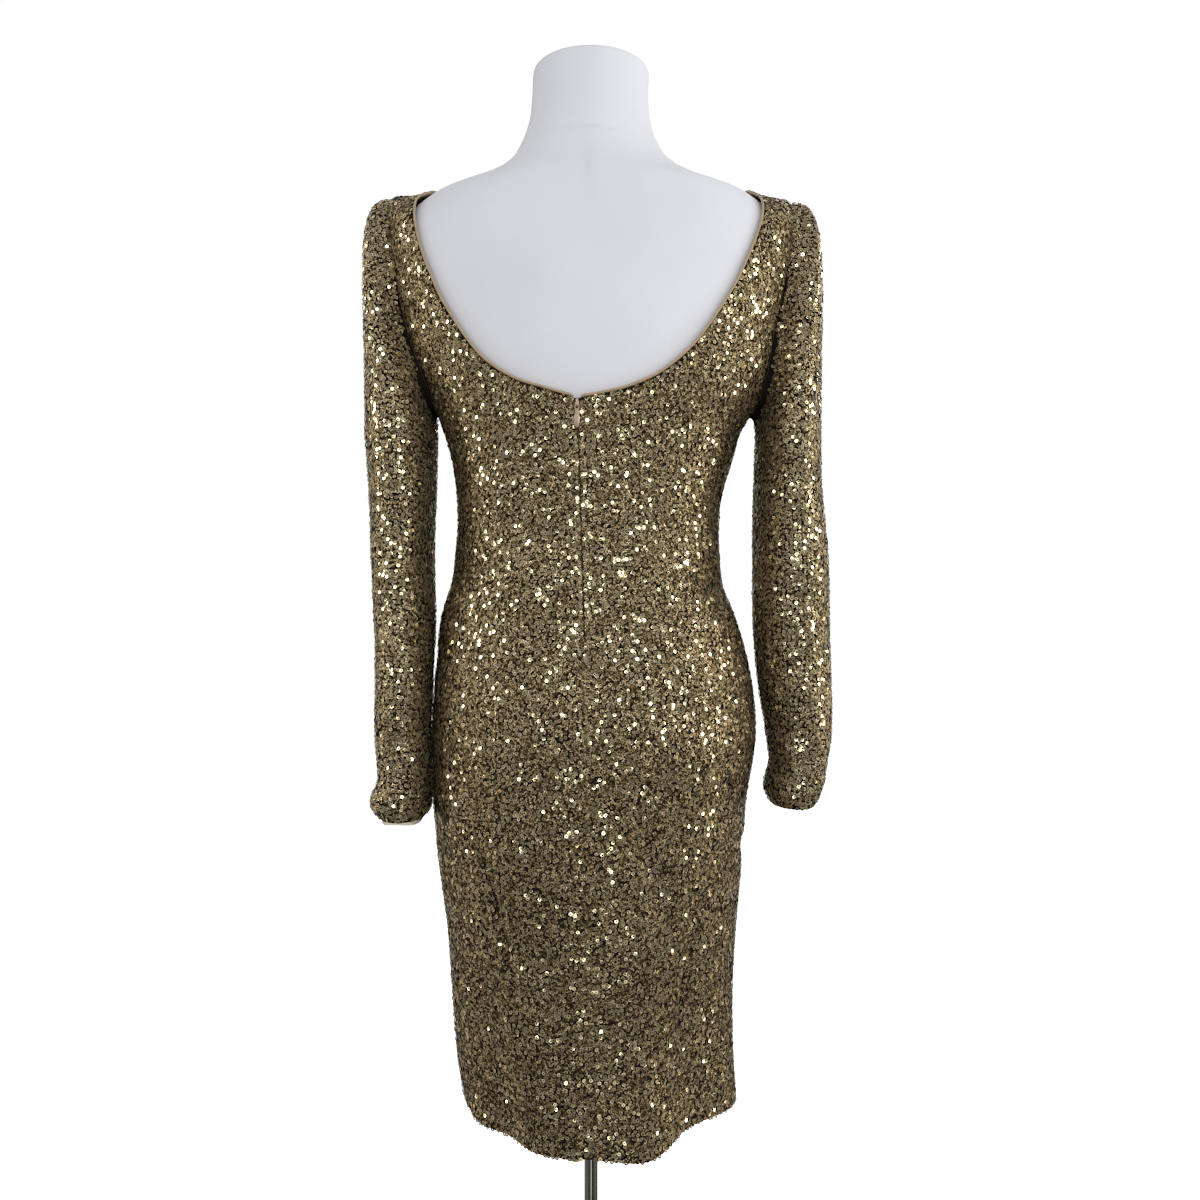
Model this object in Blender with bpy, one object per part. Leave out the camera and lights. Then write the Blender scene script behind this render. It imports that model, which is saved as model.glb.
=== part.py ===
"""Cocktail dress of sequinned net, long-sleeved and low-backed, on a limbless dress form with its stand.

Metres, +Z up, the wearer's front towards -Y and the wearer's left towards +X. The origin is the centre of
the base plate's underside. Every sewn piece is a wall of cloth worked out from one set of body sections:
an angle runs round the body, 0 at the left side seam, 90 degrees at the centre back, 180 at the right side
seam and 270 at the centre front, and a height runs up it.
"""

import math

import bmesh
import bpy
import numpy as np

# Driving dimensions
CLOTH = 0.0016  # wall of the sequinned net with its backing
SEAM = 0.00035  # space between two pieces at a seam
REST_GAP = 0.0006  # space between the cloth and the form where it rests on the shoulders
HEM = 0.545  # height of the skirt's edge at the centre back
UNDERARM = 1.208
NECK_BACK = 1.2095  # foot of the back neckline, at the top of the zip
NECK_FRONT = 1.356
LIFT_LEFT, LIFT_RIGHT = 0.0310, 0.0265  # how far the sleeve heads hold the shoulders up
LIFT_START = 0.147
LIFT_WIDTH = 0.043
ZIP_END = 0.992
PIPING_RADIUS, PIPING_LIFT = 0.0012, 0.0003
POLE_RADIUS = 0.00635
BASE_RADIUS, BASE_THICKNESS = 0.165, 0.008
BASE_BEVEL = 0.009  # width of the slope round the plate's top edge
COLLAR_RADIUS, COLLAR_HEIGHT = 0.019, 0.024
FORM_BOTTOM = 0.800
NECK_TOP = 1.545
STAND_GAP = 0.0003  # between the parts of the stand and under the form

LINING = 0.0010  # wall of the lining
LINING_INSET = 0.0006
CUFF_LINING_SHOWS, HEM_LINING_SHOWS = 0.003, 0.0022
CUFF_LINING_ROWS = 4
HEM_LINING_FROM, HEM_LINING_TO, HEM_LINING_RISE = 0.006, 0.024, 0.018

# The concealed zip: its chain behind the seam, its slider outside, and the pull that hangs from it
CHAIN_WIDTH, CHAIN_THICKNESS, CHAIN_INSET = 0.0070, 0.0012, 0.0006
SLIDER_HEIGHT = 1.2055  # height of its middle
SLIDER_WIDTH, SLIDER_LENGTH, SLIDER_THICKNESS = 0.0046, 0.0074, 0.0018
SLIDER_CORNER = 0.0016
BAIL_DROP = 0.0022  # bail below the slider's middle
SLIDER_OFF = 0.0006
BAIL_BAR, BAIL_LENGTH, BAIL_OPENING = 0.0009, 0.0058, 0.0020
PULL_THICKNESS = 0.0009
PULL_EYE_WIDTH, PULL_EYE_LENGTH, PULL_EYE_CORNER = 0.0021, 0.0036, 0.0008
PULL_OUTLINE = np.array(
    # half_width, distance below the hinge
    [
        (0.0013, -0.00045),
        (0.0019, 0.0007),
        (0.0021, 0.0022),
        (0.0019, 0.0042),
        (0.0016, 0.0060),
        (0.0021, 0.0090),
        (0.0026, 0.0120),
        (0.0026, 0.0145),
        (0.0019, 0.0175),
        (0.0012, 0.0198),
        (0.0006, 0.0208),
    ]
)

# Body sections: the inside of the dress, and above the shoulders the form's neck. Half width, shift of
# its middle towards the left, depth behind and in front of the pole's axis, and squareness (2 is round).
SECTIONS = np.array(
    # height, half_width, shift, back, front, square
    [
        (0.500, 0.1270, -0.0095, 0.1150, 0.1110, 2.00),
        (0.545, 0.1275, -0.0092, 0.1155, 0.1115, 2.00),
        (0.600, 0.1298, -0.0038, 0.1155, 0.1125, 2.02),
        (0.660, 0.1322, -0.0012, 0.1175, 0.1140, 2.05),
        (0.720, 0.1365, -0.0008, 0.1210, 0.1150, 2.08),
        (0.780, 0.1436, 0.0006, 0.1240, 0.1150, 2.10),
        (0.812, 0.1465, 0.0008, 0.1257, 0.1140, 2.11),
        (0.842, 0.1488, 0.0012, 0.1269, 0.1130, 2.13),
        (0.870, 0.1517, -0.0007, 0.1277, 0.1113, 2.14),
        (0.895, 0.1535, -0.0026, 0.1279, 0.1098, 2.16),
        (0.935, 0.1522, -0.0028, 0.1250, 0.1060, 2.18),
        (0.975, 0.1475, -0.0008, 0.1180, 0.1010, 2.20),
        (1.010, 0.1405, 0.0022, 0.1100, 0.0970, 2.20),
        (1.045, 0.1295, 0.0038, 0.1020, 0.0945, 2.20),
        (1.080, 0.1250, 0.0030, 0.0965, 0.0945, 2.20),
        (1.125, 0.1252, 0.0018, 0.0935, 0.1000, 2.20),
        (1.165, 0.1335, -0.0010, 0.0935, 0.1100, 2.20),
        (1.200, 0.1448, -0.0018, 0.0955, 0.1200, 2.20),
        (1.215, 0.1540, -0.0040, 0.0968, 0.1232, 2.20),
        (1.240, 0.1662, -0.0040, 0.0990, 0.1265, 2.20),
        (1.285, 0.1800, 0.0000, 0.1020, 0.1230, 2.20),
        (1.330, 0.1900, 0.0000, 0.1020, 0.1090, 2.18),
        (1.362, 0.1945, 0.0000, 0.0980, 0.0970, 2.15),
        (1.387, 0.1900, 0.0000, 0.0925, 0.0880, 2.10),
        (1.401, 0.1790, 0.0000, 0.0890, 0.0830, 2.06),
        (1.412, 0.1660, 0.0000, 0.0855, 0.0795, 2.04),
        (1.422, 0.1485, 0.0000, 0.0815, 0.0755, 2.02),
        (1.4300, 0.1225, 0.0000, 0.0775, 0.0715, 2.00),
        (1.439, 0.0998, 0.0000, 0.0735, 0.0675, 2.00),
        (1.452, 0.0800, 0.0006, 0.0690, 0.0635, 2.00),
        (1.469, 0.0680, 0.0013, 0.0640, 0.0595, 2.00),
        (1.492, 0.0595, 0.0010, 0.0590, 0.0565, 2.00),
        (1.518, 0.0565, 0.0008, 0.0565, 0.0555, 2.00),
        (1.545, 0.0568, -0.0002, 0.0560, 0.0555, 2.00),
        (1.600, 0.0568, -0.0002, 0.0560, 0.0555, 2.00),
    ]
)

# How far the form stands inside the dress, over REST_GAP.
FORM_SLACK = np.array(
    # height, slack
    [
        (0.780, 0.0060),
        (0.900, 0.0045),
        (1.000, 0.0042),
        (1.200, 0.0040),
        (1.300, 0.0030),
        (1.370, 0.0018),
        (1.405, 0.0010),
        (1.420, 0.0006),
        (1.440, 0.0006),
        (1.460, 0.0000),
        (1.600, 0.0000),
    ]
)

# How far each stretch of the hem hangs above HEM, and how far it stands out from its section.
HEM_WAVES = np.array(
    # angle, lift, flute
    [
        (0, 0.019, 0.000),
        (15, 0.016, 0.002),
        (31, 0.006, 0.001),
        (49, 0.003, -0.007),
        (63, 0.000, 0.000),
        (90, 0.000, 0.001),
        (108, -0.003, 0.004),
        (129, 0.010, -0.008),
        (157, 0.012, 0.003),
        (180, 0.006, 0.001),
        (205, 0.010, 0.004),
        (228, 0.004, -0.006),
        (252, 0.007, 0.004),
        (275, 0.003, -0.003),
        (300, 0.006, 0.004),
        (328, 0.010, -0.006),
        (360, 0.019, 0.000),
    ]
)
HEM_WAVE_RISE = 0.11  # the lifts fade out over this height
FLUTE_RISE = 0.30

# The rounded rims of the form: how far its wall is drawn in near the bottom and near the top.
RIM_BELOW = np.array(
    # above the bottom, drawn in
    [
        (0.000, 0.0300),
        (0.003, 0.0170),
        (0.010, 0.0070),
        (0.022, 0.0015),
        (0.040, 0.0000),
        (0.070, 0.0000),
    ]
)
RIM_ABOVE = np.array(
    # below the top, drawn in
    [
        (0.000, 0.0050),
        (0.002, 0.0014),
        (0.008, 0.0000),
    ]
)

# The largest folds that the hanging dress takes: each is a soft trough.
BODY_FOLDS = (
    # angle, height, half_length, half_width, slope, depth
    (62, 1.095, 0.060, 0.012, -0.25, 0.0026),
    (30, 1.060, 0.050, 0.011, 0.20, 0.0030),
    (118, 1.088, 0.060, 0.012, 0.22, 0.0026),
    (150, 1.052, 0.050, 0.012, -0.18, 0.0030),
    (168, 0.800, 0.040, 0.010, -0.35, 0.0032),
    (20, 0.985, 0.045, 0.012, 0.40, 0.0022),
    (75, 0.960, 0.060, 0.014, 0.12, 0.0018),
    (128, 0.930, 0.055, 0.014, -0.15, 0.0018),
    (232, 1.090, 0.055, 0.012, 0.22, 0.0026),
    (300, 1.065, 0.055, 0.012, -0.20, 0.0028),
    (205, 1.010, 0.045, 0.012, -0.35, 0.0024),
    (335, 1.120, 0.045, 0.012, 0.30, 0.0024),
)

# Centre-back seam: the dress hangs with its zip a little to the left of the form's middle.
CENTRE_BACK = np.array(
    # height, across
    [
        (0.500, 0.0000),
        (0.800, 0.0008),
        (0.990, 0.0045),
        (1.070, 0.0073),
        (1.160, 0.0096),
        (1.2095, 0.0115),
    ]
)

# Back neckline from the foot of the scoop up to the shoulder, left and right, and the front's.
NECK_LEFT = np.array(
    # across, height
    [
        (0.0115, 1.2095),
        (0.0416, 1.2185),
        (0.0707, 1.2293),
        (0.1006, 1.2519),
        (0.1306, 1.2955),
        (0.1457, 1.3277),
        (0.1585, 1.3620),
        (0.1640, 1.3888),
        (0.1620, 1.4070),
        (0.1485, 1.4220),
    ]
)
NECK_RIGHT = np.array(
    # across, height
    [
        (0.0115, 1.2095),
        (-0.0094, 1.2130),
        (-0.0381, 1.2204),
        (-0.0672, 1.2355),
        (-0.0965, 1.2629),
        (-0.1262, 1.3071),
        (-0.1416, 1.3382),
        (-0.1558, 1.3730),
        (-0.1605, 1.3930),
        (-0.1590, 1.4080),
        (-0.1485, 1.4220),
    ]
)
NECK_ACROSS_FRONT = np.array(
    # across, height
    [
        (0.0000, 1.3560),
        (0.0450, 1.3590),
        (0.0880, 1.3690),
        (0.1200, 1.3850),
        (0.1400, 1.4045),
        (0.1485, 1.4220),
    ]
)

# Armhole, the same on both sides: how far round from the side seam it is cut at each height.
ARMHOLE = np.array(
    # height, back_angle, front_angle
    [
        (1.208, 0.0, 0.0),
        (1.219, 10.0, 12.0),
        (1.243, 16.5, 21.0),
        (1.275, 18.0, 25.0),
        (1.318, 16.0, 24.0),
        (1.356, 12.0, 18.0),
        (1.379, 6.5, 9.0),
        (1.387, 0.0, 0.0),
    ]
)

# Sleeve sections, distances from the pole's axis: outer and inner edge, middle and half depth.
SLEEVE_LEFT = np.array(
    # height, outer, inner, middle, half_depth
    [
        (1.190, 0.2175, 0.1510, 0.0000, 0.0590),
        (1.147, 0.2140, 0.1515, 0.0030, 0.0570),
        (1.069, 0.2095, 0.1525, 0.0100, 0.0530),
        (1.010, 0.2050, 0.1500, 0.0200, 0.0490),
        (0.960, 0.2020, 0.1505, 0.0300, 0.0450),
        (0.890, 0.2010, 0.1510, 0.0340, 0.0400),
        (0.874, 0.1990, 0.1510, 0.0350, 0.0385),
        (0.858, 0.2000, 0.1505, 0.0350, 0.0385),
        (0.846, 0.2060, 0.1500, 0.0350, 0.0385),
        (0.836, 0.2050, 0.1510, 0.0350, 0.0365),
        (0.8265, 0.1970, 0.1570, 0.0350, 0.0335),
    ]
)
SLEEVE_RIGHT = np.array(
    # height, outer, inner, middle, half_depth
    [
        (1.190, 0.2212, 0.1620, 0.0000, 0.0590),
        (1.147, 0.2220, 0.1605, 0.0000, 0.0570),
        (1.105, 0.2260, 0.1590, 0.0000, 0.0550),
        (1.069, 0.2285, 0.1585, 0.0020, 0.0530),
        (1.000, 0.2300, 0.1590, 0.0040, 0.0490),
        (0.950, 0.2310, 0.1630, 0.0060, 0.0460),
        (0.893, 0.2300, 0.1715, 0.0080, 0.0410),
        (0.872, 0.2265, 0.1735, 0.0080, 0.0395),
        (0.856, 0.2240, 0.1685, 0.0080, 0.0395),
        (0.845, 0.2205, 0.1690, 0.0080, 0.0390),
        (0.834, 0.2150, 0.1750, 0.0080, 0.0360),
    ]
)
SLEEVE_FOLDS = (
    # angle, height, half_length, half_width, slope, depth
    (110, 1.155, 0.035, 0.011, 0.45, 0.0026),
    (70, 1.100, 0.035, 0.011, -0.35, 0.0022),
    (100, 1.035, 0.035, 0.012, 0.35, 0.0026),
    (60, 0.975, 0.030, 0.011, -0.40, 0.0020),
    (120, 0.905, 0.030, 0.010, 0.30, 0.0020),
    (260, 1.120, 0.035, 0.011, 0.40, 0.0024),
    (290, 1.020, 0.035, 0.012, -0.35, 0.0024),
    (250, 0.930, 0.030, 0.011, 0.30, 0.0020),
)
SLEEVE_FOLD_FADE = 0.05  # the folds fade in over this height below the head
CUFF_FLARE = 0.055  # height of the cuff's flare
CAP_REACH_LEFT, CAP_RISE_LEFT = 0.035, 0.009
CAP_REACH_RIGHT, CAP_RISE_RIGHT = 0.037, 0.013
UNDERARM_REACH, UNDERARM_RISE = 0.004, 0.002  # the same at the underarm
CAP_POWER = 0.7  # how fast the reach falls off towards the underarm
CAP_SPREAD = 0.45  # how much of the reach goes to the front and back
DROP_UNDERARM, DROP_OUTSIDE = 0.3, 0.8  # share of the head's height over which it turns down
HEAD_POWER = 0.9  # spacing of the head's rows

# Mesh steps
SKIRT_HEIGHTS = (HEM, 0.578, 0.622, 0.680, 0.740, 0.798, 0.845, 0.885, 0.920, 0.953)
WAIST_HEIGHTS = (0.984, 1.012, 1.038, 1.064, 1.092, 1.124, 1.158, 1.186, UNDERARM)
SIDE_ROWS = SKIRT_HEIGHTS + WAIST_HEIGHTS
SKIRT_ROWS, ARMHOLE_ROWS, FRONT_NECK_ROWS = len(SIDE_ROWS) - 1, 16, 11
PANEL_COLUMNS = 10
HEAD_ROWS, ARM_ROWS, CUFF_ROWS = 6, 9, 5
FORM_COLUMNS = 40
FORM_TORSO_HEIGHTS = np.linspace(0.905, 1.325, 14)
FORM_SHOULDER_HEIGHTS = (1.352, 1.376, 1.392, 1.405, 1.4145, 1.4225, 1.431, 1.440, 1.450, 1.462)
FORM_NECK_HEIGHTS = (1.480, 1.504)

BODY_RADIUS, ARM_RADIUS = 0.13, 0.045  # the folds' lengths are measured at these
EPSILON = 1e-4


# ---------------------------------------------------------------- curves and surfaces


def through(table, column, at):
    """A smooth curve through a table's rows: cubic pieces whose slopes are those of the neighbours."""
    knots, values = table[:, 0], table[:, column]
    slopes = np.gradient(values, knots)
    at = np.clip(at, knots[0], knots[-1])
    low = np.clip(np.searchsorted(knots, at) - 1, 0, len(knots) - 2)
    step = knots[low + 1] - knots[low]
    s = (at - knots[low]) / step
    return (
        values[low] * (1 + 2 * s) * (1 - s) ** 2
        + values[low + 1] * s * s * (3 - 2 * s)
        + slopes[low] * step * s * (1 - s) ** 2
        + slopes[low + 1] * step * s * s * (s - 1)
    )


def signed_power(value, power):
    return np.sign(value) * np.abs(value) ** power


def ramp(value, start, end):
    """0 before start, 1 after end, smooth between them."""
    s = np.clip((value - start) / (end - start), 0, 1)
    return s * s * (3 - 2 * s)


def section_point(angle, height):
    """A point of the body sections: a superellipse with its own depth behind and in front."""
    half, shift, back, front, square = (through(SECTIONS, k, height) for k in range(1, 6))
    turn = np.radians(angle)
    cosine, sine = np.cos(turn), np.sin(turn)
    depth = np.where(sine > 0, back, front)
    across = shift + half * signed_power(cosine, 2 / square)
    return np.stack([across, depth * signed_power(sine, 2 / square), height + 0 * angle], -1)


def normals_of(surface, angle, height):
    """Outward normals, from the surface's slopes round the body and up it."""
    step = np.degrees(EPSILON)
    turned = surface(angle + step, height) - surface(angle - step, height)
    raised = surface(angle, height + EPSILON) - surface(angle, height - EPSILON)
    normal = np.cross(turned, raised)
    return normal / np.linalg.norm(normal, axis=-1, keepdims=True)


def troughs(folds, angle, height, radius):
    """How far the folds press a wall inwards: each is a bell across and along its own direction."""
    depth = 0 * (angle + height)
    for at, level, half_length, half_width, slope, deep in folds:
        away = (angle - at + 180) % 360 - 180
        along = np.radians(away) * radius
        up = height - level - slope * along
        depth = depth + deep * np.exp(-((along / half_length) ** 2) - (up / half_width) ** 2)
    return depth


def hung_point(angle, height):
    """The body section, with the hem's waves and the shoulders squared up by the sleeve heads."""
    low = ramp(height, HEM + HEM_WAVE_RISE, HEM)
    round_angle = angle % 360
    point = section_point(angle, height + through(HEM_WAVES, 1, round_angle) * low)
    out = np.clip((np.abs(point[..., 0]) - LIFT_START) / LIFT_WIDTH, 0, 1)
    lift = np.where(point[..., 0] > 0, LIFT_LEFT, LIFT_RIGHT)
    point[..., 2] += lift * out**2 * ramp(height, 1.27, 1.37)
    return point


def inside_point(angle, height):
    """The inner face of the dress: hung_point moved along its normal by the flutes and folds."""
    flute = through(HEM_WAVES, 2, angle % 360) * ramp(height, HEM + FLUTE_RISE, HEM)
    press = troughs(BODY_FOLDS, angle, height, BODY_RADIUS)
    return hung_point(angle, height) + (flute - press)[..., None] * normals_of(hung_point, angle, height)


def angle_across(across, height, back=True):
    """The angle at which a section has this distance across."""
    half, shift, square = (through(SECTIONS, k, height) for k in (1, 2, 5))
    share = np.clip((across - shift) / half, -1, 1)
    angle = np.degrees(np.arccos(signed_power(share, square / 2)))
    return angle if back else -angle


def spaced(table, count, back=True):
    """Angles and heights of count + 1 points at even lengths along a neckline of (across, height)."""
    steps = np.linspace(0, len(table) - 1, 40 * len(table))
    rows = np.column_stack([np.arange(len(table)), table])
    across, height = through(rows, 1, steps), through(rows, 2, steps)
    angle = angle_across(across, height, back)
    line = section_point(angle, height)
    length = np.concatenate([[0], np.cumsum(np.linalg.norm(np.diff(line, axis=0), axis=1))])
    at = np.linspace(0, length[-1], count + 1)
    return np.interp(at, length, angle), np.interp(at, length, height)


# ---------------------------------------------------------------- meshes


def material(name, colour, metallic, roughness):
    made = bpy.data.materials.new(name)
    made.use_nodes = True
    shader = made.node_tree.nodes["Principled BSDF"]
    shader.inputs["Base Color"].default_value = (*colour, 1)
    shader.inputs["Metallic"].default_value = metallic
    shader.inputs["Roughness"].default_value = roughness
    return made


def add_mesh(name, points, faces, finish, smooth=True):
    mesh = bpy.data.meshes.new(name)
    mesh.from_pydata([tuple(p) for p in np.asarray(points).reshape(-1, 3)], [], faces)
    mesh.materials.append(finish)
    if smooth:
        mesh.shade_smooth()
        mesh.set_sharp_from_angle(angle=math.radians(40))
    thing = bpy.data.objects.new(name, mesh)
    bpy.context.scene.collection.objects.link(thing)
    return thing


def grid_faces(rows, columns, closed=False):
    """Quads of a grid of rows x columns points, facing out where columns run round and rows run up."""
    number = np.arange(rows * columns).reshape(rows, columns)
    after = np.roll(number, -1, axis=1) if closed else number[:, 1:]
    here = number if closed else number[:, :-1]
    quads = np.stack([here[:-1], after[:-1], after[1:], here[1:]], -1)
    return quads.reshape(-1, 4)


def wall(name, outer, inner, faces, finish):
    """A closed wall: the outer faces, the same faces turned over on the inner points, and the rims."""
    faces = [tuple(int(i) for i in f) for f in faces]
    count = len(outer)
    sides = {}
    for face in faces:
        for a, b in zip(face, face[1:] + face[:1]):
            if (b, a) in sides:
                del sides[b, a]
            else:
                sides[a, b] = True
    flipped = [tuple(i + count for i in reversed(face)) for face in faces]
    rims = [(b, a, a + count, b + count) for a, b in sides]
    return add_mesh(name, np.vstack([outer, inner]), faces + flipped + rims, finish)


def tube(name, path, across, out, radius, sides, finish):
    """A closed tube along a path: a ring round each point in the plane of its across and out vectors."""
    turn = np.linspace(0, 2 * math.pi, sides, endpoint=False)
    ring = np.cos(turn)[None, :, None] * across[:, None] + np.sin(turn)[None, :, None] * out[:, None]
    points = (path[:, None] + radius * ring).reshape(-1, 3)
    faces = [tuple(int(i) for i in f) for f in grid_faces(len(path), sides, closed=True)]
    last = sides * (len(path) - 1)
    faces += [tuple(range(sides))[::-1], tuple(range(last, last + sides))]
    return add_mesh(name, points, faces, finish)


def turned(name, profile, segments, finish, centre=(0, 0)):
    """A closed solid of revolution about a vertical axis, from (radius, height) rows, top to bottom."""
    turn = np.linspace(0, 2 * math.pi, segments, endpoint=False)
    radius, height = np.array(profile)[::-1].T
    points = np.stack(
        [
            centre[0] + radius[:, None] * np.cos(turn),
            centre[1] + radius[:, None] * np.sin(turn),
            height[:, None] + 0 * turn,
        ],
        -1,
    ).reshape(-1, 3)
    faces = [tuple(int(i) for i in f) for f in grid_faces(len(radius), segments, closed=True)]
    last = segments * (len(radius) - 1)
    faces += [tuple(range(segments))[::-1], tuple(range(last, last + segments))]
    return add_mesh(name, points, faces, finish)


# ---------------------------------------------------------------- body panels


def edge_rows(table, count):
    """Angles and heights of the armhole, from the underarm to the shoulder tip, evenly spaced."""
    steps = np.linspace(0, len(ARMHOLE) - 1, 400)
    rows = np.column_stack([np.arange(len(ARMHOLE)), ARMHOLE])
    height, angle = through(rows, 1, steps), through(rows, table, steps)
    point = section_point(angle, height)
    length = np.concatenate([[0], np.cumsum(np.linalg.norm(np.diff(point, axis=0), axis=1))])
    at = np.linspace(0, length[-1], count + 1)
    return np.interp(at, length, angle), np.interp(at, length, height)


def panel(start, end):
    """Angles and heights of a panel's grid, straight across from its start edge to its end edge."""
    share = np.linspace(0, 1, PANEL_COLUMNS + 1)
    return tuple(a[:, None] + (b - a)[:, None] * share for a, b in zip(start, end))


def faces_of(grid):
    angle, height = grid
    inner = inside_point(angle, height)
    return inner + CLOTH * normals_of(inside_point, angle, height), inner


side = np.array(SIDE_ROWS)
share_up = (side - HEM) / (UNDERARM - HEM)
armhole_back, armhole_back_height = edge_rows(2, ARMHOLE_ROWS)
armhole_front, armhole_front_height = edge_rows(3, ARMHOLE_ROWS)

back_centre_height = HEM + (NECK_BACK - HEM) * share_up
back_centre = angle_across(through(CENTRE_BACK, 1, back_centre_height), back_centre_height)


def back_edges(neck, right):
    """Side and centre edges of one back, each as (angles, heights) from the hem to the shoulder seam."""
    angle, height = spaced(neck, ARMHOLE_ROWS)
    centre = (
        np.concatenate([back_centre, angle[1:]]),
        np.concatenate([back_centre_height, height[1:]]),
    )
    around = np.concatenate([0 * side, armhole_back[1:]])
    outer = (180 - around if right else around, np.concatenate([side, armhole_back_height[1:]]))
    return (centre, outer) if right else (outer, centre)


def make_back(name, neck, right, finish):
    grid = panel(*back_edges(neck, right))
    outer, inner = faces_of(grid)
    rows, columns = grid[0].shape
    centre, edge = (0, -1) if right else (-1, 0)
    for points in (outer, inner):
        points[: SKIRT_ROWS + 1, centre, 0] += -SEAM / 2 if right else SEAM / 2
        points[: SKIRT_ROWS + 1, edge, 1] += SEAM / 2
        points[-1, :, 1] += SEAM / 2
    wall(name, outer.reshape(-1, 3), inner.reshape(-1, 3), grid_faces(rows, columns), finish)
    return outer, inner


def front_half(right):
    """Start and end edges of half the front; rows above the neck's foot follow the neckline."""
    rows_to_neck = ARMHOLE_ROWS - FRONT_NECK_ROWS
    angle, height = spaced(NECK_ACROSS_FRONT, FRONT_NECK_ROWS, back=False)
    low = HEM + (UNDERARM - HEM) * share_up
    rise = np.linspace(UNDERARM, NECK_FRONT, rows_to_neck + 1)[1:]
    centre_height = np.concatenate([low, rise, height[1:]])
    centre_angle = np.concatenate([np.full(len(low) + len(rise), 90.0), -angle[1:]])
    around = np.concatenate([0 * side, armhole_front[1:]])
    outer_height = np.concatenate([side, armhole_front_height[1:]])
    if right:
        return (180 + around, outer_height), (180 + centre_angle, centre_height)
    return (360 - centre_angle, centre_height), (360 - around, outer_height)


def make_front(name, finish):
    """Both halves on one mesh: they share the centre column up to the foot of the neckline."""
    right, left = panel(*front_half(True)), panel(*front_half(False))
    rows, columns = right[0].shape
    sides = []
    for grid, seam_column in ((right, 0), (left, -1)):
        outer, inner = faces_of(grid)
        for points in (outer, inner):
            points[: SKIRT_ROWS + 1, seam_column, 1] -= SEAM / 2
            points[-1, :, 1] -= SEAM / 2
        sides.append((outer, inner))
    faces = grid_faces(rows, columns)
    shift = rows * columns
    second = faces + shift
    joined = SKIRT_ROWS + ARMHOLE_ROWS - FRONT_NECK_ROWS
    for row in range(joined + 1):
        second[second == shift + row * columns] = row * columns + columns - 1
    outer = np.vstack([sides[0][0].reshape(-1, 3), sides[1][0].reshape(-1, 3)])
    inner = np.vstack([sides[0][1].reshape(-1, 3), sides[1][1].reshape(-1, 3)])
    made = wall(name, outer, inner, np.vstack([faces, second]), finish)
    drop_loose(made)
    return sides


def drop_loose(thing):
    """Deletes the points that no face uses."""
    work = bmesh.new()
    work.from_mesh(thing.data)
    bmesh.ops.delete(work, geom=[v for v in work.verts if not v.link_faces], context="VERTS")
    work.to_mesh(thing.data)
    work.free()


# ---------------------------------------------------------------- sleeves


def armhole_ring(right):
    """The armhole as a closed loop of angles and heights: tip, down the back, underarm, up the front."""
    angle = np.concatenate([armhole_back[::-1], -armhole_front[1:-1]])
    height = np.concatenate([armhole_back_height[::-1], armhole_front_height[1:-1]])
    return (180 - angle if right else angle), height


def sleeve_point(table, fullness, turn, height):
    """A point of a hanging sleeve: an ellipse between its outer and inner edge, pressed by the folds."""
    outer, inner, middle, depth = (through(table[::-1], k, height) for k in range(1, 5))
    press = troughs(SLEEVE_FOLDS, turn, height, ARM_RADIUS) * fullness
    cosine, sine = np.cos(np.radians(turn)), np.sin(np.radians(turn))
    across = (outer + inner) / 2 + ((outer - inner) / 2 - press) * cosine
    return np.stack([across, middle + (depth - press) * sine, height + 0 * turn], -1)


def sleeve_heights(table):
    """Heights of a sleeve's level rings: even down the arm, and closer at the flared cuff."""
    level, end = table[0, 0], table[-1, 0]
    arm = np.linspace(level, end + CUFF_FLARE, ARM_ROWS + 1)
    return np.concatenate([arm, np.linspace(end + CUFF_FLARE, end, CUFF_ROWS + 1)[1:]])


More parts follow.
